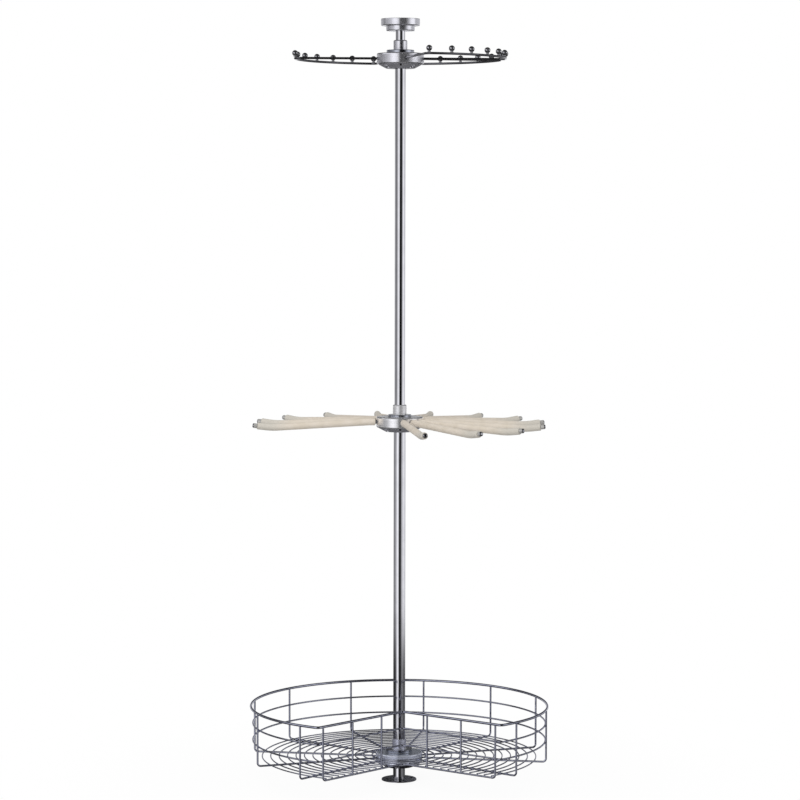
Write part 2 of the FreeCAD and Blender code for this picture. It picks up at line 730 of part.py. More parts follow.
def ball_peg():
    """A ball on a short stud, standing on the rod's crown over the origin of the rod's axis."""
    foot = UP * value("sizes.hanger_level + sizes.hanger_rod / 2 + sizes.weld_gap")
    rise = "sizes.peg_ball_height - sizes.hanger_rod / 2 - sizes.weld_gap"
    ball = doc.addObject("Part::Sphere", "peg_ball")
    ball.setExpression("Radius", "sizes.peg_ball / 2")
    ball.setExpression("Placement.Base.z", "sizes.hanger_level + sizes.peg_ball_height")
    peg = doc.addObject("Part::Fuse", "ball_peg")
    peg.Base = cylinder("peg_stud", "sizes.peg_stud / 2", rise, foot)
    peg.Tool = ball
    doc.recompute()
    return peg


loop_master = shaped("loop_master", round_wire(loop_path(), value("sizes.hanger_rod")))
peg_master = ball_peg()
peg_count = int(value("sizes.peg_count"))
for number, middle in enumerate(loop_middles, start=1):
    loop = copies(f"hanger_loop_{number}", loop_master, [turned_by(middle)])
    place_on_tier(loop, "hanger")
    keep(f"hanger_loop_{number}", loop)
    spots = []
    for index in range(peg_count):
        angle = middle + value("sizes.peg_pitch_angle") * (index - (peg_count - 1) / 2)
        spots.append(FreeCAD.Placement(polar(angle, value("sizes.hanger_radius"), 0), FreeCAD.Rotation()))
    pegs = copies(f"hanger_pegs_{number}", peg_master, spots)
    place_on_tier(pegs, "hanger")
    keep(f"hanger_pegs_{number}", pegs)

# Trouser arms: a fan of rods that droop and turn up at their tips, each in a soft sleeve with a cap
arm_count = int(value("sizes.arm_count"))
arm_angles = [half_notch + fan / (arm_count - 1) * index for index in range(arm_count)]
drum("trouser", [
    (angle, "sizes.arm_level", "sizes.arm_rod", "sizes.arm_socket")
    for angle in arm_angles
])
bowl("trouser")
bush("trouser")
hub_screws("trouser")


def arm_path(start, end_gap):
    """An arm's middle line along +X, from a radius to a distance short of the tip."""
    level = value("sizes.arm_level")
    low_level = level - value("sizes.arm_droop")
    tip_level = low_level + value("sizes.arm_tip_rise")
    low = FreeCAD.Vector(value("sizes.arm_tip_radius - sizes.arm_turn_up"), 0, low_level)
    tip = FreeCAD.Vector(value("sizes.arm_tip_radius"), 0, tip_level)
    end = tip + (low - tip).normalize() * end_gap
    points = [
        FreeCAD.Vector(start, 0, level),
        FreeCAD.Vector(value("sizes.arm_straight"), 0, level),
        low,
        end,
    ]
    return bent_path(points, [value("sizes.arm_first_bend"), value("sizes.arm_second_bend")])


def end_cap():
    """A chrome cap with a rounded nose, bored to fit over the rod's end, its nose towards +Z."""
    bore = "sizes.arm_rod / 2 + sizes.fixed_gap"
    body = turned("end_cap", [
        (bore, "0"),
        ("sizes.cap_diameter / 2", "0"),
        ("sizes.cap_diameter / 2", "sizes.cap_length"),
        ("0", "sizes.cap_length"),
        ("0", "sizes.cap_cover"),
        (bore, "sizes.cap_cover"),
    ])
    round_edges(body, [("sizes.cap_diameter / 2", "sizes.cap_length")], "sizes.cap_edge_radius")
    return body


rod_root = value(f"{DRUM_RADIUS} - sizes.arm_socket + sizes.weld_gap")
rod_end_gap = value("sizes.cap_length - sizes.cap_cover + sizes.weld_gap")
sleeve_start = value(f"{DRUM_RADIUS} + sizes.sleeve_start_gap")
sleeve_path = arm_path(sleeve_start, value("sizes.sleeve_end_gap"))
sleeve_hole = round_wire(sleeve_path, value("sizes.arm_rod + 2 * sizes.fixed_gap"))
sleeve_solid = round_wire(sleeve_path, value("sizes.sleeve_diameter")).cut(sleeve_hole)
sleeve_master = shaped("sleeve_master", sleeve_solid)
arm_spots = [turned_by(angle) for angle in arm_angles]

rod_master = shaped("arm_rod_master", round_wire(arm_path(rod_root, rod_end_gap), value("sizes.arm_rod")))
rods = copies("trouser_rods", rod_master, arm_spots)
place_on_tier(rods, "trouser")
keep("trouser_rods", rods)

for number, spot in enumerate(arm_spots, start=1):
    sleeve = copies(f"trouser_sleeve_{number:02d}", sleeve_master, [spot])
    place_on_tier(sleeve, "trouser")
    keep(f"trouser_sleeve_{number:02d}", sleeve)

tip_edge = arm_path(rod_root, value("sizes.cap_length")).OrderedEdges[-1]
tip_direction = tip_edge.tangentAt(tip_edge.FirstParameter)
cap_foot = FreeCAD.Placement(tip_edge.Vertexes[-1].Point, FreeCAD.Rotation(UP, tip_direction))
caps = copies("trouser_end_caps", end_cap(), [spot.multiply(cap_foot) for spot in arm_spots])
place_on_tier(caps, "trouser")
keep("trouser_end_caps", caps)

# Wire basket: rim and two hoops with a notch, bent ribs from the hub to the rim, and floor arcs
rib_count = int(value("sizes.rib_count"))
rib_angles = [half_notch + fan / (rib_count - 1) * index for index in range(rib_count)]
drum("basket", [
    (angle, "sizes.basket_spoke_level", "sizes.rib_wire", "sizes.rib_socket")
    for angle in rib_angles
])
bowl("basket")
bush("basket")
hub_screws("basket")

rim_radius = value("(sizes.basket_diameter - sizes.rim_wire) / 2")
rim_level = value("sizes.basket_spoke_level + sizes.basket_height")
spoke_level = value("sizes.basket_spoke_level")
post_top = rim_level - value("sizes.rim_wire / 2 + sizes.weld_gap")
basket_half_notch = value("sizes.basket_notch_angle / 2")
notch_offset = value("sizes.basket_notch_offset")
hoop_inset = value("(sizes.rib_wire + sizes.hoop_wire) / 2 + sizes.weld_gap")


def side_point(along, offset, level, side):
    """A point by the notch's side line: along it from the hub's axis, off it towards the notch."""
    turn = side * basket_half_notch
    return polar(turn, along, level) + polar(turn - side * 90, offset, 0)


def notch_corner(radius, offset):
    """Where the rounded corner between a notch's side line and an arc starts along that line."""
    bend = value("sizes.basket_corner_radius")
    return math.sqrt((radius - bend) ** 2 - (offset - bend) ** 2)


def notched_path(level, inset):
    """A closed wire: the big arc, then in along the notch to its rounded apex and out again."""
    radius = rim_radius - inset
    offset = notch_offset - inset
    bend = value("sizes.basket_corner_radius")
    apex_bend = value("sizes.basket_apex_radius")
    sine = math.sin(math.radians(basket_half_notch))
    tangent = math.tan(math.radians(basket_half_notch))
    sides = {}
    for side in (-1, 1):
        start = notch_corner(radius, offset)
        bend_centre = side_point(start, offset - bend, level, side)
        flat_centre = FreeCAD.Vector(bend_centre.x, bend_centre.y, 0)
        arc_end = bend_centre + FreeCAD.Vector(flat_centre).normalize() * bend
        line_end = side_point(start, offset, level, side)
        outward = (arc_end - bend_centre) + (line_end - bend_centre)
        bend_middle = bend_centre + outward.normalize() * bend
        apex_end = side_point((offset + apex_bend) / tangent, offset, level, side)
        corner = Part.Arc(arc_end, bend_middle, line_end).toShape()
        run = Part.LineSegment(line_end, apex_end).toShape()
        sides[side] = (corner, run, arc_end, apex_end)
    big_arc = Part.Arc(sides[1][2], polar(180, radius, level), sides[-1][2]).toShape()
    apex_middle = FreeCAD.Vector((offset + apex_bend) / sine - apex_bend, 0, level)
    apex = Part.Arc(sides[-1][3], apex_middle, sides[1][3]).toShape()
    return Part.Wire([big_arc, sides[-1][0], sides[-1][1], apex, sides[1][1], sides[1][0]])


def basket_piece(label, shape):
    """Place and keep a piece of the basket's wirework."""
    piece = shaped(label, shape)
    place_on_tier(piece, "basket")
    keep(label, piece)


hoop_pitch = value("sizes.hoop_pitch")
hoop_wire = value("sizes.hoop_wire")
rib_wire = value("sizes.rib_wire")
basket_piece("basket_rim", round_wire(notched_path(rim_level, 0), value("sizes.rim_wire")))
upper_hoop_path = notched_path(rim_level - hoop_pitch, hoop_inset)
lower_hoop_path = notched_path(rim_level - 2 * hoop_pitch, hoop_inset)
basket_piece("basket_upper_hoop", round_wire(upper_hoop_path, hoop_wire))
basket_piece("basket_lower_hoop", round_wire(lower_hoop_path, hoop_wire))

# One wire makes both corner posts and the notch's bottom edge, bent round the front of the hub
corner_along = notch_corner(rim_radius, notch_offset) - value("sizes.corner_post_margin")
apex_reach = notch_offset / math.sin(math.radians(basket_half_notch))
notch_wire_path = bent_path([
    side_point(corner_along, notch_offset, post_top, -1),
    side_point(corner_along, notch_offset, spoke_level, -1),
    FreeCAD.Vector(apex_reach, 0, spoke_level),
    side_point(corner_along, notch_offset, spoke_level, 1),
    side_point(corner_along, notch_offset, post_top, 1),
], [value("sizes.basket_bend"), value("sizes.basket_apex_radius"), value("sizes.basket_bend")])
basket_piece("basket_notch_wire", round_wire(notch_wire_path, rib_wire))

# Ribs run out from the hub under the floor and turn up to the rim
rib_root = value(f"{DRUM_RADIUS} - sizes.rib_socket + sizes.weld_gap")
rib_path = bent_path([
    FreeCAD.Vector(rib_root, 0, spoke_level),
    FreeCAD.Vector(rim_radius, 0, spoke_level),
    FreeCAD.Vector(rim_radius, 0, post_top),
], [value("sizes.basket_bend")])
rib_master = shaped("rib_master", round_wire(rib_path, rib_wire))
ribs = copies("basket_ribs", rib_master, [turned_by(angle) for angle in rib_angles])
place_on_tier(ribs, "basket")
keep("basket_ribs", ribs)

# Short posts stand on the notch wire and carry the rim along the notch
side_post_foot = spoke_level + value("sizes.rib_wire / 2 + sizes.weld_gap")
side_posts = []
for side in (-1, 1):
    for index in range(int(value("sizes.side_post_count"))):
        along = corner_along - value("sizes.side_post_pitch") * (index + 1)
        foot = side_point(along, notch_offset, side_post_foot, side)
        label = f"side_post_{index}_{'left' if side < 0 else 'right'}"
        height = "sizes.basket_height - (sizes.rib_wire + sizes.rim_wire) / 2 - 2 * sizes.weld_gap"
        side_posts.append(cylinder(label, "sizes.rib_wire / 2", height, foot))
side_post_group = compound("basket_side_posts", side_posts)
place_on_tier(side_post_group, "basket")
keep("basket_side_posts", side_post_group)

# Floor arcs lie across the ribs: whole rings by the hub, the others end on the notch wire
floor_level = "sizes.basket_spoke_level + (sizes.rib_wire + sizes.floor_wire) / 2 + sizes.weld_gap"
FIRST_ARC = f"{DRUM_RADIUS} + sizes.floor_arc_inner_margin"
first_arc = value(FIRST_ARC)
arc_pitch = value("sizes.floor_arc_pitch")
arc_room = rim_radius - value("sizes.floor_arc_outer_margin") - first_arc
floor_arcs = []
for index in range(int(arc_room / arc_pitch) + 1):
    radius = first_arc + arc_pitch * index
    edge_angle = 0
    if radius > apex_reach:
        edge_angle = basket_half_notch - math.degrees(math.asin(notch_offset / radius))
    arc = doc.addObject("Part::Torus", f"floor_arc_{index}")
    arc.setExpression("Radius1", f"{FIRST_ARC} + {index} * sizes.floor_arc_pitch")
    arc.setExpression("Radius2", "sizes.floor_wire / 2")
    arc.Angle3 = 360 - 2 * edge_angle
    arc.Placement = turned_by(edge_angle)
    arc.setExpression("Placement.Base.z", floor_level)
    floor_arcs.append(arc)
floor_group = compound("basket_floor_arcs", floor_arcs)
place_on_tier(floor_group, "basket")
keep("basket_floor_arcs", floor_group)

# Every object is sound before any file is written
doc.recompute()
for item in doc.Objects:
    if "Invalid" in item.State or "Error" in item.State:
        raise ValueError(f"{item.Label} failed: {item.State}")
for node in nodes:
    if node.Shape.isNull() or not node.Shape.isValid():
        raise ValueError(f"{node.Label} has no valid shape")

os.makedirs("parts", exist_ok=True)
for node in nodes:
    node.Shape.exportStep(f"parts/{node.Label}.step")
    print(f"{node.Label}: {len(node.Shape.Solids)} solids, {node.Shape.Volume / 1000:.2f} cm3")
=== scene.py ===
import math

import bmesh
import bpy
from mathutils import Matrix, Vector


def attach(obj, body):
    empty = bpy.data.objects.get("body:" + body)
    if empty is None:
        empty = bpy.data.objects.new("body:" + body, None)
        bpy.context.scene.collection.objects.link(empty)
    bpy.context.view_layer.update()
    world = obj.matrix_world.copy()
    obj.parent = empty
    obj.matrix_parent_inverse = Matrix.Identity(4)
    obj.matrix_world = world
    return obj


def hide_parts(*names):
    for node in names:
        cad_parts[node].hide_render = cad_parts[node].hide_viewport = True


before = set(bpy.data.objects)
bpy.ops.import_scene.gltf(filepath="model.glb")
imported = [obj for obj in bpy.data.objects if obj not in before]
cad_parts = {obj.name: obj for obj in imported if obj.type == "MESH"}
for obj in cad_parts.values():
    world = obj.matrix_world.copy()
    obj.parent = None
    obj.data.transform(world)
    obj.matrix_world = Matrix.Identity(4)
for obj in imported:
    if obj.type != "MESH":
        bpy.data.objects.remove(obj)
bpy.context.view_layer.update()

# Studio: a white sweep, a softbox in front and above, and a room of light and dark walls.
# Polished metal shows that room as upright dark and light bands, as the photograph's tubes do.
scene = bpy.context.scene
scene.view_settings.view_transform = "Standard"


def added(name, data):
    """A new object in the scene."""
    made = bpy.data.objects.new(name, data)
    scene.collection.objects.link(made)
    return made


CAMERA_PLACE = (0.0006, -6.515, 1.3386)
CAMERA_PITCH = math.radians(3.9088)
CAMERA_ROLL = math.radians(0.11)
camera_data = bpy.data.cameras.new("studio_camera")
camera_data.lens = 126.25
camera_data.sensor_width = 36
camera = added("studio_camera", camera_data)
level_view = Matrix.Rotation(math.pi / 2 - CAMERA_PITCH, 4, "X")
rolled_view = level_view @ Matrix.Rotation(CAMERA_ROLL, 4, "Z")
camera.matrix_world = Matrix.Translation(CAMERA_PLACE) @ rolled_view
scene.camera = camera


def node(tree, kind, inputs=None, **settings):
    """A new node with its properties and, by socket name or number, its input values or links."""
    made = tree.nodes.new(kind)
    for name, setting in settings.items():
        setattr(made, name, setting)
    for key, given in (inputs or {}).items():
        socket = made.inputs[key]
        if isinstance(given, bpy.types.NodeSocket):
            tree.links.new(given, socket)
        else:
            socket.default_value = given
    return made


def maths(tree, operation, *values):
    """A Math node's result from numbers or sockets."""
    return node(tree, "ShaderNodeMath", dict(enumerate(values)), operation=operation).outputs[0]


def weighed(tree, first, first_share, second, second_share):
    """The sum of two values, each by its share."""
    part = maths(tree, "MULTIPLY", first, first_share)
    return maths(tree, "ADD", part, maths(tree, "MULTIPLY", second, second_share))


def blended(tree, share, first, second):
    """A Mix node's colour between two colours."""
    mix = node(tree, "ShaderNodeMix", {0: share, 6: first, 7: second}, data_type="RGBA")
    return mix.outputs[2]


def stepped(tree, value, low, high, start=0.0, end=1.0):
    """A value eased from one range to another."""
    ranges = {0: value, 1: low, 2: high, 3: start, 4: end}
    return node(tree, "ShaderNodeMapRange", ranges, interpolation_type="SMOOTHSTEP").outputs[0]


def length_of(tree, vector):
    """How long a vector is."""
    return node(tree, "ShaderNodeVectorMath", {0: vector}, operation="LENGTH").outputs["Value"]


def grey(level):
    """A neutral colour."""
    return (level, level, level, 1.0)


def varied_grey(tree, level):
    """A neutral colour whose level varies."""
    return node(tree, "ShaderNodeCombineColor", {0: level, 1: level, 2: level}).outputs[0]


world = bpy.data.worlds.new("studio_room")
scene.world = world
world.use_nodes = True
room = world.node_tree
room.nodes.clear()
direction = node(room, "ShaderNodeTexCoord").outputs["Generated"]
heading = node(room, "ShaderNodeSeparateXYZ", {0: direction})
rise = heading.outputs["Z"]
towards_camera = maths(room, "MULTIPLY", heading.outputs["Y"], -1.0)
bearing = maths(room, "ARCTAN2", heading.outputs["X"], towards_camera)
turn_share = maths(room, "ADD", maths(room, "DIVIDE", bearing, 2 * math.pi), 0.5)
# Brightness of the room by bearing in degrees, where 0 is behind the camera and 90 its right
EYE_LEVEL = (
    (-180, 0.95), (-140, 0.62), (-122, 0.48), (-106, 0.24), (-86, 0.18), (-72, 0.30), (-56, 0.44),
    (-45, 0.88), (-32, 1.08), (-18, 0.92), (-9, 0.65), (-4, 0.02), (0, 0.005), (32, 0.005),
    (40, 0.12), (54, 0.50), (68, 1.02), (86, 1.05), (104, 0.72), (140, 0.80), (180, 0.95),
)
HIP_LEVEL = (
    (-180, 0.80), (-140, 0.40), (-118, 0.20), (-92, 0.36), (-64, 0.56), (-50, 1.10), (-36, 1.15),
    (-22, 0.78), (-14, 0.50), (-9, 0.02), (22, 0.02), (34, 0.34), (54, 0.70), (78, 0.96), (108, 0.84),
    (140, 0.70), (180, 0.80),
)
FOOT_LEVEL = (
    (-180, 0.16), (-130, 0.05), (-94, 0.02), (-72, 0.06), (-52, 0.50), (-36, 1.15), (-20, 0.95),
    (-10, 0.22), (-2, 0.01), (22, 0.01), (34, 0.06), (58, 0.24), (84, 0.10), (130, 0.10), (180, 0.16),
)
# How far a direction rises where one level of the room gives way to the next
EYE_TO_HIP = (-0.065, -0.090)
HIP_TO_FOOT = (-0.138, -0.166)
INTO_THE_FLOOR = (-0.25, -0.55)
WINDOW_LEFT = (math.radians(-112), math.radians(-92))
WINDOW_RIGHT = (math.radians(-22), math.radians(-40))
WINDOW_SILL = (0.06, 0.14)
WINDOW_HEAD = (0.62, 0.48)
WINDOW_COLOUR = (0.90, 0.90, 0.95, 1.0)
CEILING_GREY = 0.06


def bands_round(stops):
    """The room's brightness at one level, all the way round."""
    ramp = node(room, "ShaderNodeValToRGB", {0: turn_share})
    ramp.color_ramp.interpolation = "EASE"
    while len(ramp.color_ramp.elements) < len(stops):
        ramp.color_ramp.elements.new(0.5)
    for stop, (degrees, brightness) in zip(ramp.color_ramp.elements, stops):
        stop.position = degrees / 360 + 0.5
        stop.color = (brightness * 0.97, brightness * 0.97, brightness, 1.0)
    return ramp.outputs[0]


upper_walls = bands_round(EYE_LEVEL)
reflected = blended(room, stepped(room, rise, *EYE_TO_HIP), upper_walls, bands_round(HIP_LEVEL))
reflected = blended(room, stepped(room, rise, *HIP_TO_FOOT), reflected, bands_round(FOOT_LEVEL))
ceiling_line = stepped(room, towards_camera, -0.20, 0.20, 0.07, 0.42)
above = stepped(room, maths(room, "SUBTRACT", rise, ceiling_line), -0.10, 0.14)
reflected = blended(room, above, reflected, grey(CEILING_GREY))
window_sides = (stepped(room, bearing, *WINDOW_LEFT), stepped(room, bearing, *WINDOW_RIGHT))
window_ends = (stepped(room, rise, *WINDOW_SILL), stepped(room, rise, *WINDOW_HEAD))
left_window = maths(
    room, "MULTIPLY", maths(room, "MULTIPLY", *window_sides), maths(room, "MULTIPLY", *window_ends),
)
reflected = blended(room, left_window, reflected, WINDOW_COLOUR)
near_floor = varied_grey(room, stepped(room, towards_camera, 0.25, 0.60, 0.05, 0.12))
reflected = blended(room, stepped(room, rise, *INTO_THE_FLOOR), reflected, near_floor)
rays = node(room, "ShaderNodeLightPath").outputs
from_the_front = weighed(room, towards_camera, 0.80, rise, 0.40)
lit = varied_grey(room, stepped(room, from_the_front, -0.75, 0.85, 0.32, 1.00))
lit_or_reflected = blended(room, rays["Is Glossy Ray"], lit, reflected)
seen = blended(room, rays["Is Camera Ray"], lit_or_reflected, grey(1.0))
background = node(room, "ShaderNodeBackground", {"Color": seen, "Strength": 1.0})
node(room, "ShaderNodeOutputWorld", {"Surface": background.outputs[0]})

softbox_data = bpy.data.lights.new("front_softbox", "AREA")
softbox_data.shape = "RECTANGLE"
softbox_data.size = 1.4
softbox_data.size_y = 0.9
softbox_data.energy = 14
softbox = added("front_softbox", softbox_data)
softbox.location = (-0.5, -1.3, 2.1)
softbox.rotation_euler = (math.radians(46), math.radians(-15), 0)
softbox.visible_glossy = False

FLOOR_HALF = 40.0
floor_mesh = bpy.data.meshes.new("studio_floor")
floor_corners = [(x * FLOOR_HALF, y * FLOOR_HALF, 0) for x, y in ((-1, -1), (1, -1), (1, 1), (-1, 1))]
floor_mesh.from_pydata(floor_corners, [], [(0, 1, 2, 3)])
floor = added("studio_floor", floor_mesh)
floor_paint = bpy.data.materials.new("white_sweep")
floor_paint.use_nodes = True
sweep = floor_paint.node_tree
sweep.nodes.clear()
floor_reach = length_of(sweep, node(sweep, "ShaderNodeTexCoord").outputs["Object"])
floor_rays = node(sweep, "ShaderNodeLightPath").outputs
matt = node(sweep, "ShaderNodeBsdfDiffuse", {"Color": grey(0.86)})
bare = node(sweep, "ShaderNodeEmission", {"Color": grey(1.0), "Strength": 1.0})
glow_share = stepped(sweep, floor_reach, 0.20, 1.00, 0.94, 1.0)
shown = node(sweep, "ShaderNodeMixShader", {0: glow_share, 1: matt.outputs[0], 2: bare.outputs[0]})
choice = node(sweep, "ShaderNodeMixShader", {
    0: floor_rays["Is Camera Ray"], 1: matt.outputs[0], 2: shown.outputs[0],
})
node(sweep, "ShaderNodeOutputMaterial", {"Surface": choice.outputs[0]})
floor_mesh.materials.append(floor_paint)
floor.visible_glossy = False

# Floor flange: a round steel plate, chromed dark, screwed to the wardrobe's floor through four
# countersunk holes. A turned spigot in its middle stands inside the lower tube.
MM = 0.001
SMOOTH_ANGLE = math.radians(32)
HOLD_SHARE = 0.12


def finished(name, mesh, material=None):
    """An object at the origin from a mesh, smooth but for its sharp edges."""
    mesh.name = name
    if material:
        mesh.materials.clear()
        mesh.materials.append(material)
    mesh.shade_smooth()
    mesh.set_sharp_from_angle(angle=SMOOTH_ANGLE)
    return added(name, mesh)


def fit(piece, body, slot, *nodes):
    """Put a finished piece on its body, and hide the CAD nodes that it stands for. The slot is not used.
    """
    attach(piece, body)
    if nodes:
        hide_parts(*nodes)


def bend(before, corner, after, radius):
    """A rounded corner's centre, and the points where its arc starts and ends."""
    back = (before - corner).normalized()
    ahead = (after - corner).normalized()
    half = back.angle(ahead) / 2
    reach = radius / math.tan(half)
    centre = corner + (back + ahead).normalized() * (radius / math.sin(half))
    return centre, corner + back * reach, corner + ahead * reach


def arc(centre, start, end, steps):
    """Points of the shorter arc round a centre from a start point to an end point."""
    first, last = start - centre, end - centre
    whole = first.angle(last)
    points = []
    for step in range(steps + 1):
        share = step / steps
        swung = first * math.sin((1 - share) * whole) + last * math.sin(share * whole)
        points.append(centre + swung / math.sin(whole))
    return points


def eased_corners(corners, roundings, steps=5):
    """A closed outline with some of its corners, by number, rounded to a radius.

    A point just outside each rounding keeps the flats beside it flat when they are shaded smooth.
    """
    outline = []
    for index, corner in enumerate(corners):
        here = Vector(corner)
        if index not in roundings:
            outline.append(here)
            continue
        radius = roundings[index]
        before, after = Vector(corners[index - 1]), Vector(corners[(index + 1) % len(corners)])
        centre, start, end = bend(before, here, after, radius)
        hold = HOLD_SHARE * radius
        outline.append(start + (before - here).normalized() * hold)
        outline += arc(centre, start, end, steps)
        outline.append(end + (after - here).normalized() * hold)
    return outline


def turned_mesh(outline, sides=96, lift=0.0):
    """A closed mesh turned about Z from a closed outline of radii and heights in millimetres."""
    rings = []
    points = []
    for corner in outline:
        radius, height = corner[0] * MM, (corner[1] + lift) * MM
        if radius < 1e-9:
            rings.append([len(points)] * sides)
            points.append((0, 0, height))
            continue
        rings.append(range(len(points), len(points) + sides))
        for side in range(sides):
            angle = 2 * math.pi * side / sides
            points.append((radius * math.cos(angle), radius * math.sin(angle), height))
    faces = []
    for ring, following in zip(rings, rings[1:] + rings[:1]):
        for side in range(sides):
            ahead = (side + 1) % sides
            corners = (ring[side], ring[ahead], following[ahead], following[side])
            face = tuple(dict.fromkeys(corners))
            if len(face) > 2:
                faces.append(face)
    mesh = bpy.data.meshes.new("turned")
    mesh.from_pydata(points, [], faces)
    shell = bmesh.new()
    shell.from_mesh(mesh)
    bmesh.ops.recalc_face_normals(shell, faces=shell.faces)
    shell.to_mesh(mesh)
    shell.free()
    return mesh


def carved(mesh, tool, operation="DIFFERENCE"):
    """A mesh with a tool's mesh cut out of it, or joined to it."""
    base = added("carving_base", mesh)
    cutter = added("carving_tool", tool)
    boolean = base.modifiers.new("carving", "BOOLEAN")
    boolean.operation = operation
    boolean.solver = "EXACT"
    boolean.object = cutter
    graph = bpy.context.evaluated_depsgraph_get()
    result = bpy.data.meshes.new_from_object(base.evaluated_get(graph))
    bpy.data.objects.remove(base)
    bpy.data.objects.remove(cutter)
    return result


def joined(meshes):
    """Several meshes as one."""
    whole = bmesh.new()
    for mesh in meshes:
        whole.from_mesh(mesh)
    mesh = bpy.data.meshes.new("joined")
    whole.to_mesh(mesh)
    whole.free()
    return mesh


def moved(mesh, matrix):
    """A copy of a mesh, moved."""
    copy = mesh.copy()
    copy.transform(matrix)
    return copy


def shift(across=0.0, up=0.0):
    """A move along X and Z in millimetres."""
    return Matrix.Translation((across * MM, 0, up * MM))


def around(angle):
    """A turn about Z by an angle in degrees."""
    return Matrix.Rotation(math.radians(angle), 4, "Z")


def on_circle(outline, count, first, diameter):
    """Copies of a small turned shape on a circle, from a first angle in degrees."""
    shape = turned_mesh(outline, sides=32)
    turns = [around(first + 360 / count * index) for index in range(count)]
    return joined([moved(shape, turn @ shift(diameter / 2)) for turn in turns])


def new_paint(name, constants):
    """A new material, its node tree, its main shader with its constants, and its object coordinates."""
    paint = bpy.data.materials.new(name)
    paint.use_nodes = True
    tree = paint.node_tree
    shader = tree.nodes["Principled BSDF"]
    for key, constant in constants.items():
        shader.inputs[key].default_value = constant
    return paint, tree, shader, node(tree, "ShaderNodeTexCoord").outputs["Object"]


def noise(tree, spot, scale, detail, roughness=0.5):
    """A noise pattern's strength."""
    pattern = node(tree, "ShaderNodeTexNoise", {
        "Vector": spot, "Scale": scale, "Detail": detail, "Roughness": roughness,
    })
    return pattern.outputs["Fac"]


def dimmed(colour, share):
    """A darker tone of a colour."""
    return tuple(channel * share for channel in colour[:3]) + (1.0,)


def surfaced(tree, shader, tone, gloss, height, strength, distance):
    """Give a shader its tone, its gloss and a fine relief."""
    relief = node(tree, "ShaderNodeBump", {"Strength": strength, "Distance": distance, "Height": height})
    tree.links.new(tone, shader.inputs["Base Color"])
    tree.links.new(gloss, shader.inputs["Roughness"])
    tree.links.new(relief.outputs[0], shader.inputs["Normal"])


def metal(name, colour, roughness, spread, streak):
    """Plated metal: smudges and faint scratches in its gloss, and a slightly uneven tone."""
    paint, tree, shader, spot = new_paint(name, {"Metallic": 1.0})
    smudges = noise(tree, spot, scale=42.0, detail=5.0, roughness=0.62)
    stretched = node(tree, "ShaderNodeMapping", {"Vector": spot, "Scale": streak}).outputs[0]
    scratches = noise(tree, stretched, scale=1.0, detail=3.0, roughness=0.55)
    wear = weighed(tree, smudges, 0.6, scratches, 0.4)
    gloss = stepped(tree, wear, 0.32, 0.72, roughness, roughness + spread)
    tone = blended(tree, stepped(tree, smudges, 0.35, 0.75), colour, dimmed(colour, 0.90))
    surfaced(tree, shader, tone, gloss, scratches, strength=0.12, distance=0.00004)
    return paint


black_chrome = metal("black_chrome", (0.26, 0.26, 0.28, 1.0), 0.10, 0.10, (900.0, 900.0, 120.0))
FLANGE_RADIUS = 41.0
FLANGE_TOP = 3.0
SPIGOT_BORE = 6.0
SPIGOT_RADIUS = 12.95
SPIGOT_TOP = 23.0
HOLE_RADIUS = 2.5
SINK_RADIUS = 4.6
flange_outline = eased_corners([
    (SPIGOT_BORE, 0), (FLANGE_RADIUS, 0), (FLANGE_RADIUS, FLANGE_TOP), (SPIGOT_RADIUS, FLANGE_TOP),
    (SPIGOT_RADIUS, SPIGOT_TOP), (SPIGOT_BORE, SPIGOT_TOP),
], {2: 1.1, 4: 1.0})
countersink = [
    (0, -1), (HOLE_RADIUS, -1), (HOLE_RADIUS, 1.4), (SINK_RADIUS, 3.2), (SINK_RADIUS, 4), (0, 4),
]
floor_drill = on_circle(countersink, count=4, first=15, diameter=58)
flange_mesh = carved(turned_mesh(flange_outline, sides=128), floor_drill)
floor_flange = finished("floor_flange_plate", flange_mesh, black_chrome)
fit(floor_flange, "pole_base", "dark_chrome", "floor_flange")

# Pole: three lengths of polished chrome steel tube that slide in each other and lock by a twist.
# The cut ends are lightly rounded, and faint drawing lines run along the walls.
tube_chrome = metal("tube_chrome", (0.80, 0.80, 0.83, 1.0), 0.035, 0.05, (1400.0, 1400.0, 6.0))
TUBE_EASE = 0.35
TUBES = {
    "lower_tube": ("pole_base", 14.0, 13.0, 3.0, 874.5),
    "middle_tube": ("middle_pole", 12.5, 11.5, 674.5, 1717.5),
    "upper_tube": ("upper_pole", 11.0, 10.0, 1457.5, 1766.5),
}
for tube, (body, outer, bore, foot, top) in TUBES.items():
    ends = [(bore, foot), (outer, foot), (outer, top), (bore, top)]
    walls = eased_corners(ends, dict.fromkeys(range(4), TUBE_EASE), steps=3)
    fit(finished(f"{tube}_wall", turned_mesh(walls, sides=128), tube_chrome), body, "tube_chrome", tube)


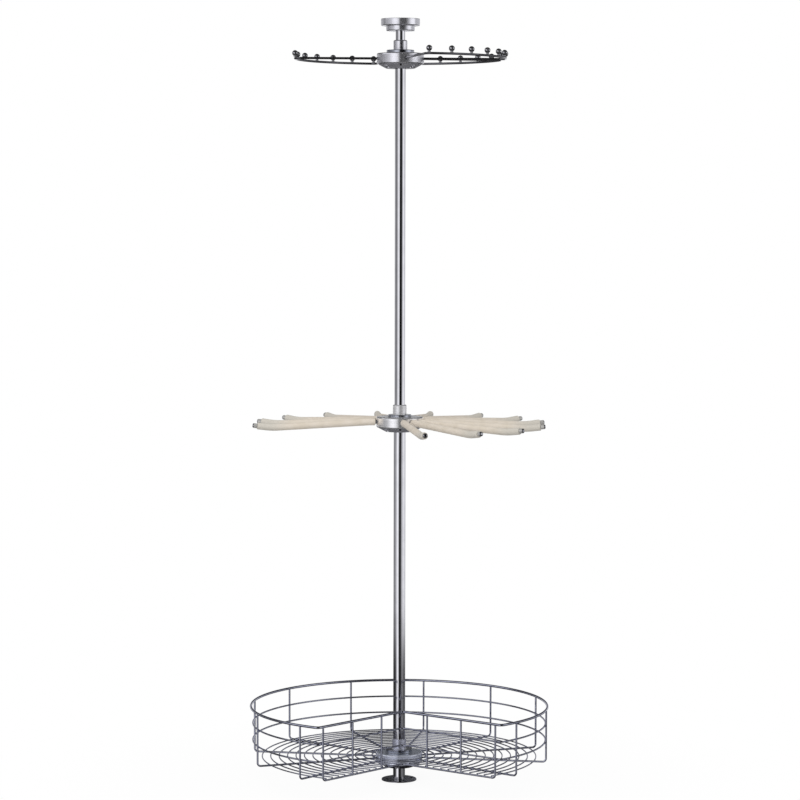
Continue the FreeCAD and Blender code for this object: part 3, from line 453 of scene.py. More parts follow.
# Ceiling flange: a turned aluminium disc with a step that sockets the upper tube, left satin.
# Three screws go up through its rim, and a grub screw at the back of the step clamps the tube.
def satin(name, colour, roughness, bare=0.92):
    """Turned aluminium under a thin lacquer: fine rings round the axis in its gloss, tone and relief."""
    constants = {"Metallic": bare, "Anisotropic": 0.25, "Anisotropic Rotation": 0.25}
    paint, tree, shader, spot = new_paint(name, constants)
    turning = node(tree, "ShaderNodeTangent", direction_type="RADIAL", axis="Z").outputs[0]
    tree.links.new(turning, shader.inputs["Tangent"])
    split = node(tree, "ShaderNodeSeparateXYZ", {0: spot}).outputs
    flat = node(tree, "ShaderNodeCombineXYZ", {0: split[0], 1: split[1]}).outputs[0]
    section = node(tree, "ShaderNodeCombineXYZ", {0: length_of(tree, flat), 2: split[2]}).outputs[0]
    fine_rings = noise(tree, section, scale=3600.0, detail=2.0, roughness=0.6)
    broad_rings = noise(tree, section, scale=420.0, detail=2.0, roughness=0.5)
    handling = noise(tree, spot, scale=55.0, detail=4.0, roughness=0.6)
    rings = weighed(tree, fine_rings, 0.5, broad_rings, 0.5)
    wear = weighed(tree, rings, 0.6, handling, 0.4)
    gloss = stepped(tree, wear, 0.30, 0.70, roughness, roughness + 0.10)
    tone = blended(tree, stepped(tree, rings, 0.36, 0.64), colour, dimmed(colour, 0.86))
    surfaced(tree, shader, tone, gloss, rings, strength=0.25, distance=0.00006)
    return paint


def out_along(angle, radius, height):
    """A place at an angle, radius and height in degrees and millimetres, with Z pointing outwards."""
    return around(angle) @ shift(radius, height) @ Matrix.Rotation(math.pi / 2, 4, "Y")


def plain_bore(radius, top, foot=0.0):
    """The outline of a plain round bore or pillar."""
    return [(0, foot), (radius, foot), (radius, top), (0, top)]


satin_casting = satin("satin_casting", (0.90, 0.90, 0.95, 1.0), 0.14, bare=0.93)
STEP_RADIUS = 33.0
STEP_FOOT = 1746.5
SHOULDER = STEP_FOOT + 12.0
DISC_RADIUS = 45.0
CEILING_TOP = 1774.5
SOCKET_RADIUS = 11.05
SOCKET_TOP = 1766.5
LEAD_RADIUS = 6.0
GRUB_RADIUS = 2.55
GRUB_DEPTH = 21.0
GRUB_LEVEL = STEP_FOOT + 6.0
ceiling_outline = eased_corners([
    (SOCKET_RADIUS, STEP_FOOT), (STEP_RADIUS, STEP_FOOT), (STEP_RADIUS, SHOULDER),
    (DISC_RADIUS, SHOULDER), (DISC_RADIUS, CEILING_TOP), (LEAD_RADIUS, CEILING_TOP),
    (LEAD_RADIUS, SOCKET_TOP), (SOCKET_RADIUS, SOCKET_TOP),
], {0: 0.5, 1: 2.0, 2: 0.8, 3: 2.0, 4: 0.8})
ceiling_sink = [
    (0, SHOULDER - 1), (SINK_RADIUS, SHOULDER - 1), (SINK_RADIUS, SHOULDER),
    (HOLE_RADIUS, SHOULDER + 2.2), (HOLE_RADIUS, CEILING_TOP + 1), (0, CEILING_TOP + 1),
]
rim_drill = on_circle(ceiling_sink, count=3, first=30, diameter=76)
ceiling_mesh = carved(turned_mesh(ceiling_outline, sides=128), rim_drill)
grub_drill = turned_mesh(plain_bore(GRUB_RADIUS, GRUB_DEPTH), sides=24)
grub_hole = moved(grub_drill, out_along(angle=90, radius=10.9, height=GRUB_LEVEL))
ceiling_mesh = carved(ceiling_mesh, grub_hole)
ceiling_flange = finished("ceiling_flange_disc", ceiling_mesh, satin_casting)
fit(ceiling_flange, "upper_pole", "satin_casting", "ceiling_flange")

# Hubs: each tier turns on a cast aluminium drum with a bright turned boss, bored for its rods.
# A darker bowl closes it from below, held by four screws in deep recesses, and a small hole in its
# side lets a key reach the grub screw. The basket's drum is tinted blue. The trouser drum is painted
# brighter, as painted light from the front, and the basket's top face and bowl are painted darker,
# as painted shade.
bowl_casting = satin("bowl_casting", (0.46, 0.46, 0.50, 1.0), 0.26, bare=0.62)
# Painted shade: the basket's bowl, close over the floor, is painted darker than the other tiers' bowls.
painted_shade_bowl = satin("painted_shade_bowl", (0.20, 0.20, 0.23, 1.0), 0.28)
# Painted light: the trouser drum and its top face are a brighter copy of the satin casting, standing in
# for the front light on that tier.
painted_light_casting = satin("painted_light_casting", (0.98, 0.98, 1.0, 1.0), 0.17, bare=0.86)
blue_casting = satin("blue_casting", (0.83, 0.87, 1.0, 1.0), 0.16, bare=0.64)
turned_boss = metal("turned_boss", (0.48, 0.50, 0.56, 1.0), 0.10, 0.08, (300.0, 300.0, 2600.0))
# Painted shade: the basket drum's top face is painted darker than its wall, as if shaded from above.
painted_shade_blue_face = satin("painted_shade_blue_face", (0.48, 0.53, 0.63, 1.0), 0.20, bare=0.80)
# Each tier's wall, top face and bowl materials; the trouser wall and face carry painted light, the
# basket face and bowl painted shade.
FINISHES = {
    "hanger": (satin_casting, satin_casting, bowl_casting),
    "trouser": (painted_light_casting, painted_light_casting, bowl_casting),
    "basket": (blue_casting, painted_shade_blue_face, painted_shade_bowl),
}
BUSH_GAP = 2.63
NECK_WALL = 4.0
NECK_FOOT = 13.5
HOLLOW_REACH = 16.0
HOLLOW_TOP = 29.0
DRUM_RADIUS = 54.5
DRUM_FACE = 35.0
BOWL_HEIGHT = 10.0
BOWL_WALL = 3.0
BOWL_FOOT_RADIUS = 33.0
BOWL_FLOOR_RADIUS = 34.7
BOWL_RIM_INNER = 48.0
BOWL_RIM_OUTER = 52.0
RECESS_RADIUS = 5.6
RECESS_FLOOR = 7.8
SCREW_HOLE = 2.05
MOUTH_GAP = 1.0
SOCKET_SLACK = 0.05
SOCKET_FLARE = 1.3
FLARE_DEPTH = 0.9
DRILL_OVER = 0.5
BOSS_FINISH_FROM = DRUM_FACE + 0.6
TOP_FACE_FROM = DRUM_FACE - 0.3
PILLAR_RADIUS = RECESS_RADIUS + 1.3
PILLAR_FOOT = 4.6
KEY_RADIUS = 2.5
KEY_REACH = 24.0
SCREW_CIRCLE = 80.0
SCREW_FIRST = 78.0
SCREW_COUNT = 4
SCREW_STEP = 90.0
NOTCH_HALF = 45.0
ARM_STEP = 22.5
RIB_STEP = 30.0
HUBS = {
    "hanger": {
        "base": 1660.5, "turn": 234.0, "tube": 12.5, "boss": 32.0, "boss_height": 7.5,
        "rod": 5.5, "rod_level": 23.0, "depth": 14.0, "angles": (50, 130, 140, 220, 230, 310),
    },
    "trouser": {
        "base": 820.0, "turn": 234.5, "tube": 14.0, "boss": 27.0, "boss_height": 5.0,
        "rod": 8.0, "rod_level": 23.0, "depth": 20.0,
        "angles": [NOTCH_HALF + ARM_STEP * arm for arm in range(13)],
    },
    "basket": {
        "base": 32.0, "turn": 275.0, "tube": 14.0, "boss": 31.5, "boss_height": 7.5,
        "rod": 4.5, "rod_level": 22.5, "depth": 8.0,
        "angles": [NOTCH_HALF + RIB_STEP * rib for rib in range(10)],
    },
}
for tier, hub in HUBS.items():
    wall_finish_and_painted_light, face_finish_and_painted_light, bowl_finish_and_painted_shade = FINISHES[tier]
    seat = shift(up=hub["base"]) @ around(hub["turn"])
    boss, depth = hub["boss"], hub["depth"]
    bore = hub["tube"] + BUSH_GAP
    hollow = hub["tube"] + HOLLOW_REACH
    top = DRUM_FACE + hub["boss_height"]
    drum_outline = eased_corners([
        (bore, NECK_FOOT), (bore, top), (boss, top), (boss, DRUM_FACE), (DRUM_RADIUS, DRUM_FACE),
        (DRUM_RADIUS, BOWL_HEIGHT), (hollow, BOWL_HEIGHT), (hollow, HOLLOW_TOP),
        (bore + NECK_WALL, HOLLOW_TOP), (bore + NECK_WALL, NECK_FOOT),
    ], {1: 0.4, 2: 1.5, 3: 1.2, 4: 3.0, 5: 3.0})
    hole, flare = hub["rod"] / 2 + SOCKET_SLACK, hub["rod"] / 2 + SOCKET_FLARE
    mouth_end = depth + DRILL_OVER
    socket_cutter = turned_mesh(
        [(0, 0), (hole, 0), (hole, depth - FLARE_DEPTH), (flare, mouth_end), (0, mouth_end)], sides=32,
    )
    socket_places = [out_along(angle, DRUM_RADIUS - depth, hub["rod_level"]) for angle in hub["angles"]]
    sockets = joined([moved(socket_cutter, spot) for spot in socket_places])
    drum_mesh = carved(turned_mesh(drum_outline, sides=144), sockets)
    drum = finished(f"{tier}_drum_casting", drum_mesh, wall_finish_and_painted_light)
    drum_mesh.materials.append(turned_boss)
    drum_mesh.materials.append(face_finish_and_painted_light)
    # The top face takes the face material: painted light on the trouser drum, painted shade on the
    # basket drum.
    for face in drum_mesh.polygons:
        if face.center.z > BOSS_FINISH_FROM * MM:
            face.material_index = 1
        elif face.center.z > TOP_FACE_FROM * MM:
            face.material_index = 2
    drum_mesh.transform(seat)
    fit(drum, f"{tier}_carousel", "satin_casting", f"{tier}_drum")

    mouth = hub["tube"] + MOUTH_GAP
    bowl_outline = eased_corners([
        (mouth, 0), (BOWL_FOOT_RADIUS, 0), (BOWL_RIM_OUTER, BOWL_HEIGHT), (BOWL_RIM_INNER, BOWL_HEIGHT),
        (BOWL_FLOOR_RADIUS, BOWL_WALL), (mouth, BOWL_WALL),
    ], {0: 0.5, 1: 4.0, 2: 0.6})
    pillar = plain_bore(PILLAR_RADIUS, BOWL_HEIGHT, PILLAR_FOOT)
    pillars = on_circle(pillar, SCREW_COUNT, SCREW_FIRST, SCREW_CIRCLE)
    recess = [
        (0, -1), (RECESS_RADIUS, -1), (RECESS_RADIUS, RECESS_FLOOR), (SCREW_HOLE, RECESS_FLOOR),
        (SCREW_HOLE, BOWL_HEIGHT + 1), (0, BOWL_HEIGHT + 1),
    ]
    recesses = on_circle(recess, SCREW_COUNT, SCREW_FIRST, SCREW_CIRCLE)
    key_drill = turned_mesh(plain_bore(KEY_RADIUS, KEY_REACH), sides=32)
    key_hole = moved(key_drill, out_along(angle=37, radius=32.0, height=7.0))
    bowl_mesh = carved(turned_mesh(bowl_outline, sides=144), pillars, "UNION")
    bowl_mesh = carved(bowl_mesh, joined([recesses, key_hole]))
    # On the basket tier the bowl's material is painted shade.
    bowl = finished(f"{tier}_bowl_casting", bowl_mesh, bowl_finish_and_painted_shade)
    bowl_mesh.materials.append(satin_casting)
    screw_turns = [around(SCREW_FIRST + SCREW_STEP * index) for index in range(SCREW_COUNT)]
    screw_spots = [(turn @ shift(SCREW_CIRCLE / 2)).to_translation().xy for turn in screw_turns]
    for face in bowl_mesh.polygons:
        off_screw = min((face.center.xy - spot).length for spot in screw_spots)
        if face.center.z < (RECESS_FLOOR + 0.1) * MM and off_screw < (RECESS_RADIUS + 0.02) * MM:
            face.material_index = 1
    bowl_mesh.transform(seat)
    fit(bowl, f"{tier}_carousel", "bowl_casting", f"{tier}_bowl")

# Collars: turned brass ferrules, plated satin, pressed on the tubes' ends to guide the next tube.
# A shallow groove runs round each near its foot; the one above the basket hub is a plain sleeve.
collar_nickel = metal("collar_nickel", (0.86, 0.86, 0.90, 1.0), 0.20, 0.10, (300.0, 300.0, 2600.0))
# Painted light: the middle collar's plating is brighter than the upper collar's, standing in for the
# front light on the trouser tier; it is also rougher.
soft_painted_light_plate = satin("soft_painted_light_plate", (0.98, 0.98, 1.0, 1.0), 0.32, bare=0.76)
blue_plate = satin("blue_plate", (0.80, 0.82, 0.96, 1.0), 0.18, bare=0.78)
COLLAR_RADIUS = 16.0
COLLAR_HEIGHT = 22.0
COLLAR_GROOVE = COLLAR_RADIUS - 0.35
GROOVE_START = 2.6
GROOVE_END = 3.8
GROOVE_SLOPE = 0.3
LIP_LEVEL = 14.0
COLLARS = (
    ("middle_collar", "pole_base", 860.5, 14.05, 12.58, 2.0, soft_painted_light_plate),
    ("upper_collar", "middle_pole", 1703.5, 12.55, 11.08, 2.0, collar_nickel),
    ("basket_collar", "pole_base", 75.0, 14.05, None, 1.0, blue_plate),
)
for collar, body, foot, seat_bore, lip_bore, taper, plating_and_painted_light in COLLARS:
    ferrule = [
        (seat_bore, 0), (COLLAR_RADIUS, 0), (COLLAR_RADIUS, GROOVE_START),
        (COLLAR_GROOVE, GROOVE_START + GROOVE_SLOPE), (COLLAR_GROOVE, GROOVE_END - GROOVE_SLOPE),
        (COLLAR_RADIUS, GROOVE_END), (COLLAR_RADIUS, COLLAR_HEIGHT - taper),
        (COLLAR_RADIUS - taper, COLLAR_HEIGHT),
    ]
    if lip_bore:
        ferrule += [(lip_bore, COLLAR_HEIGHT), (lip_bore, LIP_LEVEL), (seat_bore, LIP_LEVEL)]
        easing = {1: 0.5, 6: 1.2, 7: 0.8, 8: 0.3}
    else:
        ferrule.append((seat_bore, COLLAR_HEIGHT))
        easing = {1: 0.5, 6: 0.5, 7: 0.4}
    collar_mesh = turned_mesh(eased_corners(ferrule, easing), sides=128, lift=foot)
    fit(finished(f"{collar}_ferrule", collar_mesh, plating_and_painted_light), body, "tube_chrome", collar)


# Hub screws: zinc-plated pan-head screws with a cross recess, driven up into the drum from below.
# One master screw is set round the hub by a node tree.
def new_tree(name, asks):
    """A new node tree and its inputs, from their names and kinds; it gives out a shape."""
    tree = bpy.data.node_groups.new(name, "GeometryNodeTree")
    for ask, kind in asks.items():
        tree.interface.new_socket(ask, in_out="INPUT", socket_type=f"NodeSocket{kind}")
    tree.interface.new_socket("Shape", in_out="OUTPUT", socket_type="NodeSocketGeometry")
    return tree, node(tree, "NodeGroupInput").outputs


def end_tree(tree, instances, finish):
    """End a node tree: its instances are made real, coated and given out."""
    real = node(tree, "GeometryNodeRealizeInstances", {0: instances}).outputs[0]
    coated = node(tree, "GeometryNodeSetMaterial", {"Geometry": real, "Material": finish})
    node(tree, "NodeGroupOutput", {"Shape": coated.outputs[0]})


def repeating_tree(name, sweeps):
    """A node tree that sets a shape round the pole; it may first draw the shape as wire along a path."""
    asks = {
        "Shape": "Geometry", "Copies": "Int", "First Angle": "Float", "Step Angle": "Float",
        "Finish": "Material",
    }
    if sweeps:
        asks |= {"Wire Diameter": "Float", "Sides": "Int"}
    tree, given = new_tree(name, asks)
    shape = given["Shape"]
    if sweeps:
        path = node(tree, "GeometryNodeMeshToCurve", {"Mesh": shape}).outputs[0]
        measured = node(tree, "GeometryNodeCaptureAttribute", {"Geometry": path})
        measured.capture_items.new("FLOAT", "along")
        tree.links.new(node(tree, "GeometryNodeSplineParameter").outputs["Length"], measured.inputs[1])
        section = node(tree, "GeometryNodeCurvePrimitiveCircle", {
            "Resolution": given["Sides"], "Radius": maths(tree, "MULTIPLY", given["Wire Diameter"], 0.5),
        })
        girth = node(tree, "GeometryNodeInputNamedAttribute", {"Name": "girth"}, data_type="FLOAT")
        swept = node(tree, "GeometryNodeCurveToMesh", {
            "Curve": measured.outputs[0], "Profile Curve": section.outputs[0],
            "Scale": girth.outputs[0], "Fill Caps": True,
        })
        kept = node(tree, "GeometryNodeStoreNamedAttribute", {
            "Geometry": swept.outputs[0], "Name": "along", "Value": measured.outputs[1],
        })
        shape = kept.outputs[0]
    spots = node(tree, "GeometryNodePoints", {"Count": given["Copies"]}).outputs[0]
    index = node(tree, "GeometryNodeInputIndex").outputs[0]
    angle = maths(tree, "ADD", given["First Angle"], maths(tree, "MULTIPLY", index, given["Step Angle"]))
    facing = node(tree, "ShaderNodeCombineXYZ", {2: angle}).outputs[0]
    facing = node(tree, "FunctionNodeEulerToRotation", {0: facing}).outputs[0]
    placed = node(tree, "GeometryNodeInstanceOnPoints", {
        "Points": spots, "Instance": shape, "Rotation": facing,
    })
    end_tree(tree, placed.outputs[0], given["Finish"])
    return tree


def grown(name, tree, mesh, asks):
    """The plain piece that a node tree makes from a mesh, its inputs given by name."""
    source = added("node_tree_source", mesh)
    modifier = source.modifiers.new("making", "NODES")
    modifier.node_group = tree
    for socket in tree.interface.items_tree:
        if socket.in_out == "INPUT" and socket.name in asks:
            modifier[socket.identifier] = asks[socket.name]
    graph = bpy.context.evaluated_depsgraph_get()
    evaluated = source.evaluated_get(graph)
    result = bpy.data.meshes.new_from_object(evaluated, preserve_all_data_layers=True, depsgraph=graph)
    bpy.data.objects.remove(source)
    return finished(name, result)


round_the_pole = repeating_tree("round_the_pole", sweeps=False)


def ringed(name, mesh, finish, copies, first, step):
    """Copies of a shape round the pole, at angles in degrees."""
    return grown(name, round_the_pole, mesh, {
        "Copies": copies, "First Angle": math.radians(first), "Step Angle": math.radians(step),
        "Finish": finish,
    })


zinc = metal("zinc_plate", (0.74, 0.74, 0.76, 1.0), 0.22, 0.12, (700.0, 700.0, 700.0))
HEAD_RADIUS = 3.75
HEAD_FOOT = 5.8
SHANK_RADIUS = 2.0
SHANK_TOP = 17.8
SLOT_LENGTH = 4.6
SLOT_WIDTH = 0.95
SLOT_HEIGHT = 2.4
screw_outline = eased_corners([
    (0, HEAD_FOOT), (HEAD_RADIUS, HEAD_FOOT), (HEAD_RADIUS, RECESS_FLOOR), (SHANK_RADIUS, RECESS_FLOOR),
    (SHANK_RADIUS, SHANK_TOP), (0, SHANK_TOP),
], {1: 1.3})
slot_cutter = bmesh.new()
for length, width in ((SLOT_LENGTH, SLOT_WIDTH), (SLOT_WIDTH, SLOT_LENGTH)):
    bar = bmesh.ops.create_cube(slot_cutter, size=1.0)["verts"]
    bmesh.ops.scale(slot_cutter, vec=(length * MM, width * MM, SLOT_HEIGHT * MM), verts=bar)
    bmesh.ops.translate(slot_cutter, vec=(0, 0, HEAD_FOOT * MM), verts=bar)
slot_mesh = bpy.data.meshes.new("cross_slot")
slot_cutter.to_mesh(slot_mesh)
slot_cutter.free()
screw_mesh = carved(turned_mesh(screw_outline, sides=32), slot_mesh)
screw_mesh.transform(shift(SCREW_CIRCLE / 2))
for tier, hub in HUBS.items():
    lifted = moved(screw_mesh, shift(up=hub["base"]))
    screws = ringed(
        f"{tier}_pan_screws", lifted, zinc, SCREW_COUNT, hub["turn"] + SCREW_FIRST, SCREW_STEP,
    )
    fit(screws, f"{tier}_carousel", "steel_hardware", f"{tier}_hub_screws")

# Hanger ring: three loops of round steel rod, bent to sectors of a ring and chromed dark.
# Each loop's two straight ends are pressed into sockets in the drum.
dark_chrome = metal("dark_chrome", (0.24, 0.24, 0.26, 1.0), 0.06, 0.08, (900.0, 900.0, 120.0))
drawn_wire = repeating_tree("drawn_wire", sweeps=True)
STRAIGHT_LEAST = 12.0
STRAIGHT_HOLD = 3.0
END_GAP = 0.15


def place(angle, radius, height):
    """A point at an angle in degrees, a radius and a height in millimetres."""
    bearing_angle = math.radians(angle)
    return Vector((radius * math.cos(bearing_angle), radius * math.sin(bearing_angle), height))


def rod_root(hub):
    """The radius at which a rod's end stands in its socket."""
    return DRUM_RADIUS - hub["depth"] + END_GAP


def drawn_in(run, rounding, half_width, steps=5):
    """A run with extra points near its ends, and widths that round the ends off."""
    leans = [math.pi / 2 * step / steps for step in range(steps + 1)]
    reaches = [rounding * (1 - math.cos(lean)) for lean in leans]
    widths = [(half_width - rounding + rounding * math.sin(lean)) / half_width for lean in leans]
    head = [run[0] + (run[1] - run[0]).normalized() * reach for reach in reaches]
    tail = [run[-1] + (run[-2] - run[-1]).normalized() * reach for reach in reaches]
    return head + run[1:-1] + tail[::-1], widths + [1.0] * (len(run) - 2) + widths[::-1]


def wire_path(runs, rounding=0.0, half_width=1.0):
    """A path mesh from runs of points in millimetres; one that ends where it starts is a closed ring.

    A rounding draws in the ends of the wire. Points near the ends of a straight stretch keep it straight
    when it is shaded smooth.
    """
    points, links, girths = [], [], []
    for run in runs:
        clean = [run[0]]
        for point in run[1:]:
            stretch = point - clean[-1]
            if stretch.length > STRAIGHT_LEAST:
                hold = stretch.normalized() * STRAIGHT_HOLD
                clean += [clean[-1] + hold, point - hold]
            if stretch.length > 1e-4:
                clean.append(point)
        closed = (clean[0] - clean[-1]).length < 1e-3
        if closed:
            clean.pop()
        widths = [1.0] * len(clean)
        if rounding:
            clean, widths = drawn_in(clean, rounding, half_width)
        start = len(points)
        points += [point * MM for point in clean]
        girths += widths
        links += [(start + index, start + index + 1) for index in range(len(clean) - 1)]
        if closed:
            links.append((start + len(clean) - 1, start))
    mesh = bpy.data.meshes.new("wire_path")
    mesh.from_pydata(points, links, [])
    mesh.attributes.new("girth", "FLOAT", "POINT").data.foreach_set("value", girths)
    return mesh


def drawn(name, path, diameter, finish, sides=20, copies=1, first=0.0, step=0.0):
    """Round wire along a path, set round the pole at angles in degrees."""
    return grown(name, drawn_wire, path, {
        "Copies": copies, "First Angle": math.radians(first), "Step Angle": math.radians(step),
        "Finish": finish, "Wire Diameter": diameter * MM, "Sides": sides,
    })


hanger = HUBS["hanger"]
RAIL_LEVEL = hanger["base"] + hanger["rod_level"]
RAIL_RADIUS = 243.0
RAIL_STEPS = 48
LOOP_HALF = 40.0
LOOP_BEND = 14.0
BEND_STEPS = 14
loop_lean = math.degrees(math.asin(LOOP_BEND / (RAIL_RADIUS - LOOP_BEND)))
bend_start = math.sqrt((RAIL_RADIUS - LOOP_BEND) ** 2 - LOOP_BEND**2)
rail_reach = LOOP_HALF - loop_lean


def loop_side(side):
    """A loop's end from its socket to the start of its rail."""
    centre = place(side * rail_reach, RAIL_RADIUS - LOOP_BEND, RAIL_LEVEL)
    root = place(side * LOOP_HALF, rod_root(hanger), RAIL_LEVEL)
    straight_end = place(side * LOOP_HALF, bend_start, RAIL_LEVEL)
    rail_end = place(side * rail_reach, RAIL_RADIUS, RAIL_LEVEL)
    return [root] + arc(centre, straight_end, rail_end, BEND_STEPS)


rail_angles = [-rail_reach + 2 * rail_reach * step / RAIL_STEPS for step in range(1, RAIL_STEPS)]
rail = [place(angle, RAIL_RADIUS, RAIL_LEVEL) for angle in rail_angles]
loop_run = loop_side(-1) + rail + loop_side(1)[::-1]
LOOP_MIDDLES = (90.0, 180.0, 270.0)
for number, middle in enumerate(LOOP_MIDDLES, start=1):
    loop = drawn(
        f"hanger_loop_{number}_rod", wire_path([loop_run]), hanger["rod"], dark_chrome, sides=24,
        first=hanger["turn"] + middle,
    )
    fit(loop, "hanger_carousel", "dark_chrome", f"hanger_loop_{number}")

# Ball pegs: turned steel balls on short studs, welded on top of the rail to keep the hangers apart.
# A node tree sets the same turned peg along each loop.
# Painted light: the balls are a brighter copy of the rail's dark chrome, so that their highlights show
# strongly.
ball_chrome_painted_light = metal("ball_chrome_painted_light", (0.48, 0.48, 0.50, 1.0), 0.05, 0.06, (700.0, 700.0, 700.0))
PEG_COUNT = 7
PEG_STEP = 12.9
BALL_RADIUS = 6.75
BALL_HEIGHT = 11.5
BALL_STEPS = 24
STUD_RADIUS = 3.25
STUD_FOOT = 2.9
peg_outline = [(0, STUD_FOOT), (4.1, STUD_FOOT), (3.6, 3.3), (STUD_RADIUS, 3.9)]
ball_start = math.asin(STUD_RADIUS / BALL_RADIUS)
for step in range(BALL_STEPS):
    lean = ball_start + (math.pi - ball_start) * step / BALL_STEPS
    peg_outline.append((BALL_RADIUS * math.sin(lean), BALL_HEIGHT - BALL_RADIUS * math.cos(lean)))
peg_outline.append((0, BALL_HEIGHT + BALL_RADIUS))
peg_mesh = turned_mesh(peg_outline, sides=40, lift=RAIL_LEVEL)
peg_mesh.transform(shift(RAIL_RADIUS))
for number, middle in enumerate(LOOP_MIDDLES, start=1):
    first_peg = hanger["turn"] + middle - PEG_STEP * (PEG_COUNT - 1) / 2
    pegs = ringed(
        f"hanger_ball_pegs_{number}", peg_mesh.copy(), ball_chrome_painted_light, PEG_COUNT, first_peg, PEG_STEP,
    )
    fit(pegs, "hanger_carousel", "dark_chrome", f"hanger_pegs_{number}")

# Trouser arms: zinc-plated steel rods that droop a little, turn up at their tips and are pressed into
# the drum. Only a few millimetres of each show, between the drum and its sleeve.
ARC_STEP = math.radians(2.0)


def bent_run(corners, radii):
    """A run of points through corners that are rounded to the given radii."""
    run = [corners[0]]
    for before, corner, after, radius in zip(corners, corners[1:], corners[2:], radii):
        centre, start, end = bend(before, corner, after, radius)
        steps = max(4, math.ceil((start - centre).angle(end - centre) / ARC_STEP / 3))
        run += arc(centre, start, end, steps)
    return run + [corners[-1]]


trouser = HUBS["trouser"]
ARM_LEVEL = trouser["base"] + trouser["rod_level"]
ARM_FIRST = trouser["turn"] + NOTCH_HALF
ARM_COUNT = len(trouser["angles"])
ARM_DROOP_START = 75.0
ARM_BENDS = (300.0, 160.0)
CAP_LENGTH = 10.5
CAP_HOLLOW = 5.5
ARM_LOW_RADIUS = 298.5
ARM_LOW_DROP = 10.5
ARM_TIP_RADIUS = 344.5
ARM_TIP_DROP = 5.0
arm_low = Vector((ARM_LOW_RADIUS, 0, ARM_LEVEL - ARM_LOW_DROP))
arm_tip = Vector((ARM_TIP_RADIUS, 0, ARM_LEVEL - ARM_TIP_DROP))
tip_back = (arm_low - arm_tip).normalized()


def arm_run(start, short_of_tip):
    """An arm's middle line along +X, from a radius to a distance short of the tip."""
    root, droop = Vector((start, 0, ARM_LEVEL)), Vector((ARM_DROOP_START, 0, ARM_LEVEL))
    return bent_run([root, droop, arm_low, arm_tip + tip_back * short_of_tip], ARM_BENDS)


rod_run = arm_run(rod_root(trouser), CAP_LENGTH - CAP_HOLLOW + END_GAP)
rods = drawn(
    "trouser_arm_rods", wire_path([rod_run]), trouser["rod"], zinc,
    copies=ARM_COUNT, first=ARM_FIRST, step=ARM_STEP,
)
fit(rods, "trouser_carousel", "dark_chrome", "trouser_rods")


# Sleeves: soft cream tubing pushed over the arms so that trousers don't slip, with eased ends.
# Its skin is matt and finely grained, clouded in tone, and greyer towards the free end.
def soft_tubing(name, colour, end_colour, length):
    """Soft extruded tubing: fine grain, a cloudy tone and a duller, greyer free end."""
    constants = {"Specular IOR Level": 0.28, "Sheen Weight": 0.12, "Sheen Roughness": 0.5}
    paint, tree, shader, spot = new_paint(name, constants)
    along = node(tree, "ShaderNodeAttribute", attribute_name="along").outputs["Fac"]
    grain = noise(tree, spot, scale=1900.0, detail=3.0, roughness=0.6)
    cloud = noise(tree, spot, scale=38.0, detail=4.0, roughness=0.55)
    aged = tuple(channel * share for channel, share in zip(colour[:3], (0.90, 0.89, 0.86))) + (1.0,)
    tone = blended(tree, stepped(tree, cloud, 0.35, 0.70), colour, aged)
    end_share = stepped(tree, along, (length - 90.0) * MM, (length - 20.0) * MM)
    tone = blended(tree, end_share, tone, end_colour)
    speck_share = maths(tree, "MULTIPLY", stepped(tree, grain, 0.50, 0.75), 0.35)
    tone = blended(tree, speck_share, tone, dimmed(colour, 0.94))
    gloss = stepped(tree, cloud, 0.30, 0.70, 0.52, 0.68)
    surfaced(tree, shader, tone, gloss, grain, strength=0.20, distance=0.0001)
    return paint


SLEEVE_RADIUS = 8.0
SLEEVE_START = 58.0
SLEEVE_EASE = 1.6
CAP_CLEARANCE = 0.5
CREAM = (0.635, 0.57, 0.49, 1.0)
CREAM_END = (0.525, 0.495, 0.44, 1.0)
sleeve_run = arm_run(SLEEVE_START, CAP_LENGTH + CAP_CLEARANCE)
sleeve_length = sum((after - before).length for before, after in zip(sleeve_run, sleeve_run[1:]))
cream_tubing = soft_tubing("cream_tubing", CREAM, CREAM_END, sleeve_length)
sleeve_path = wire_path([sleeve_run], rounding=SLEEVE_EASE, half_width=SLEEVE_RADIUS)
for number in range(ARM_COUNT):
    sleeve_node = f"trouser_sleeve_{number + 1:02d}"
    sleeve = drawn(
        f"{sleeve_node}_tubing", sleeve_path.copy(), 2 * SLEEVE_RADIUS, cream_tubing, sides=40,
        first=ARM_FIRST + ARM_STEP * number,
    )
    fit(sleeve, "trouser_carousel", "sleeve", sleeve_node)

# End caps: small grey lacquered cups pressed over the arms' tips, with bare chromed noses.
# They keep the sleeves from working off, and a node tree sets one on each arm.
cap_lacquer = metal("cap_lacquer", (0.50, 0.49, 0.47, 1.0), 0.12, 0.10, (700.0, 700.0, 700.0))
NOSE_CHROME = (0.42, 0.42, 0.44, 1.0)
NOSE_LEVEL = 8.0
CAP_RADIUS = 5.5
CAP_BORE = 4.05
cap_paint = cap_lacquer.node_tree
cap_shader = cap_paint.nodes["Principled BSDF"]
cup_tone = cap_shader.inputs["Base Color"].links[0].from_socket
nose_share = node(cap_paint, "ShaderNodeAttribute", attribute_name="nose").outputs["Fac"]
cap_tone = blended(cap_paint, nose_share, cup_tone, NOSE_CHROME)
cap_paint.links.new(cap_tone, cap_shader.inputs["Base Color"])
bare_share = maths(cap_paint, "MULTIPLY_ADD", nose_share, 0.65, 0.35)
cap_paint.links.new(bare_share, cap_shader.inputs["Metallic"])
cap_outline = eased_corners([
    (CAP_BORE, 0), (CAP_RADIUS, 0), (CAP_RADIUS, CAP_LENGTH), (0, CAP_LENGTH), (0, CAP_HOLLOW),
    (CAP_BORE, CAP_HOLLOW),
], {0: 0.3, 1: 0.5, 2: 3.5}, steps=7)
cap_mesh = turned_mesh(cap_outline, sides=40)
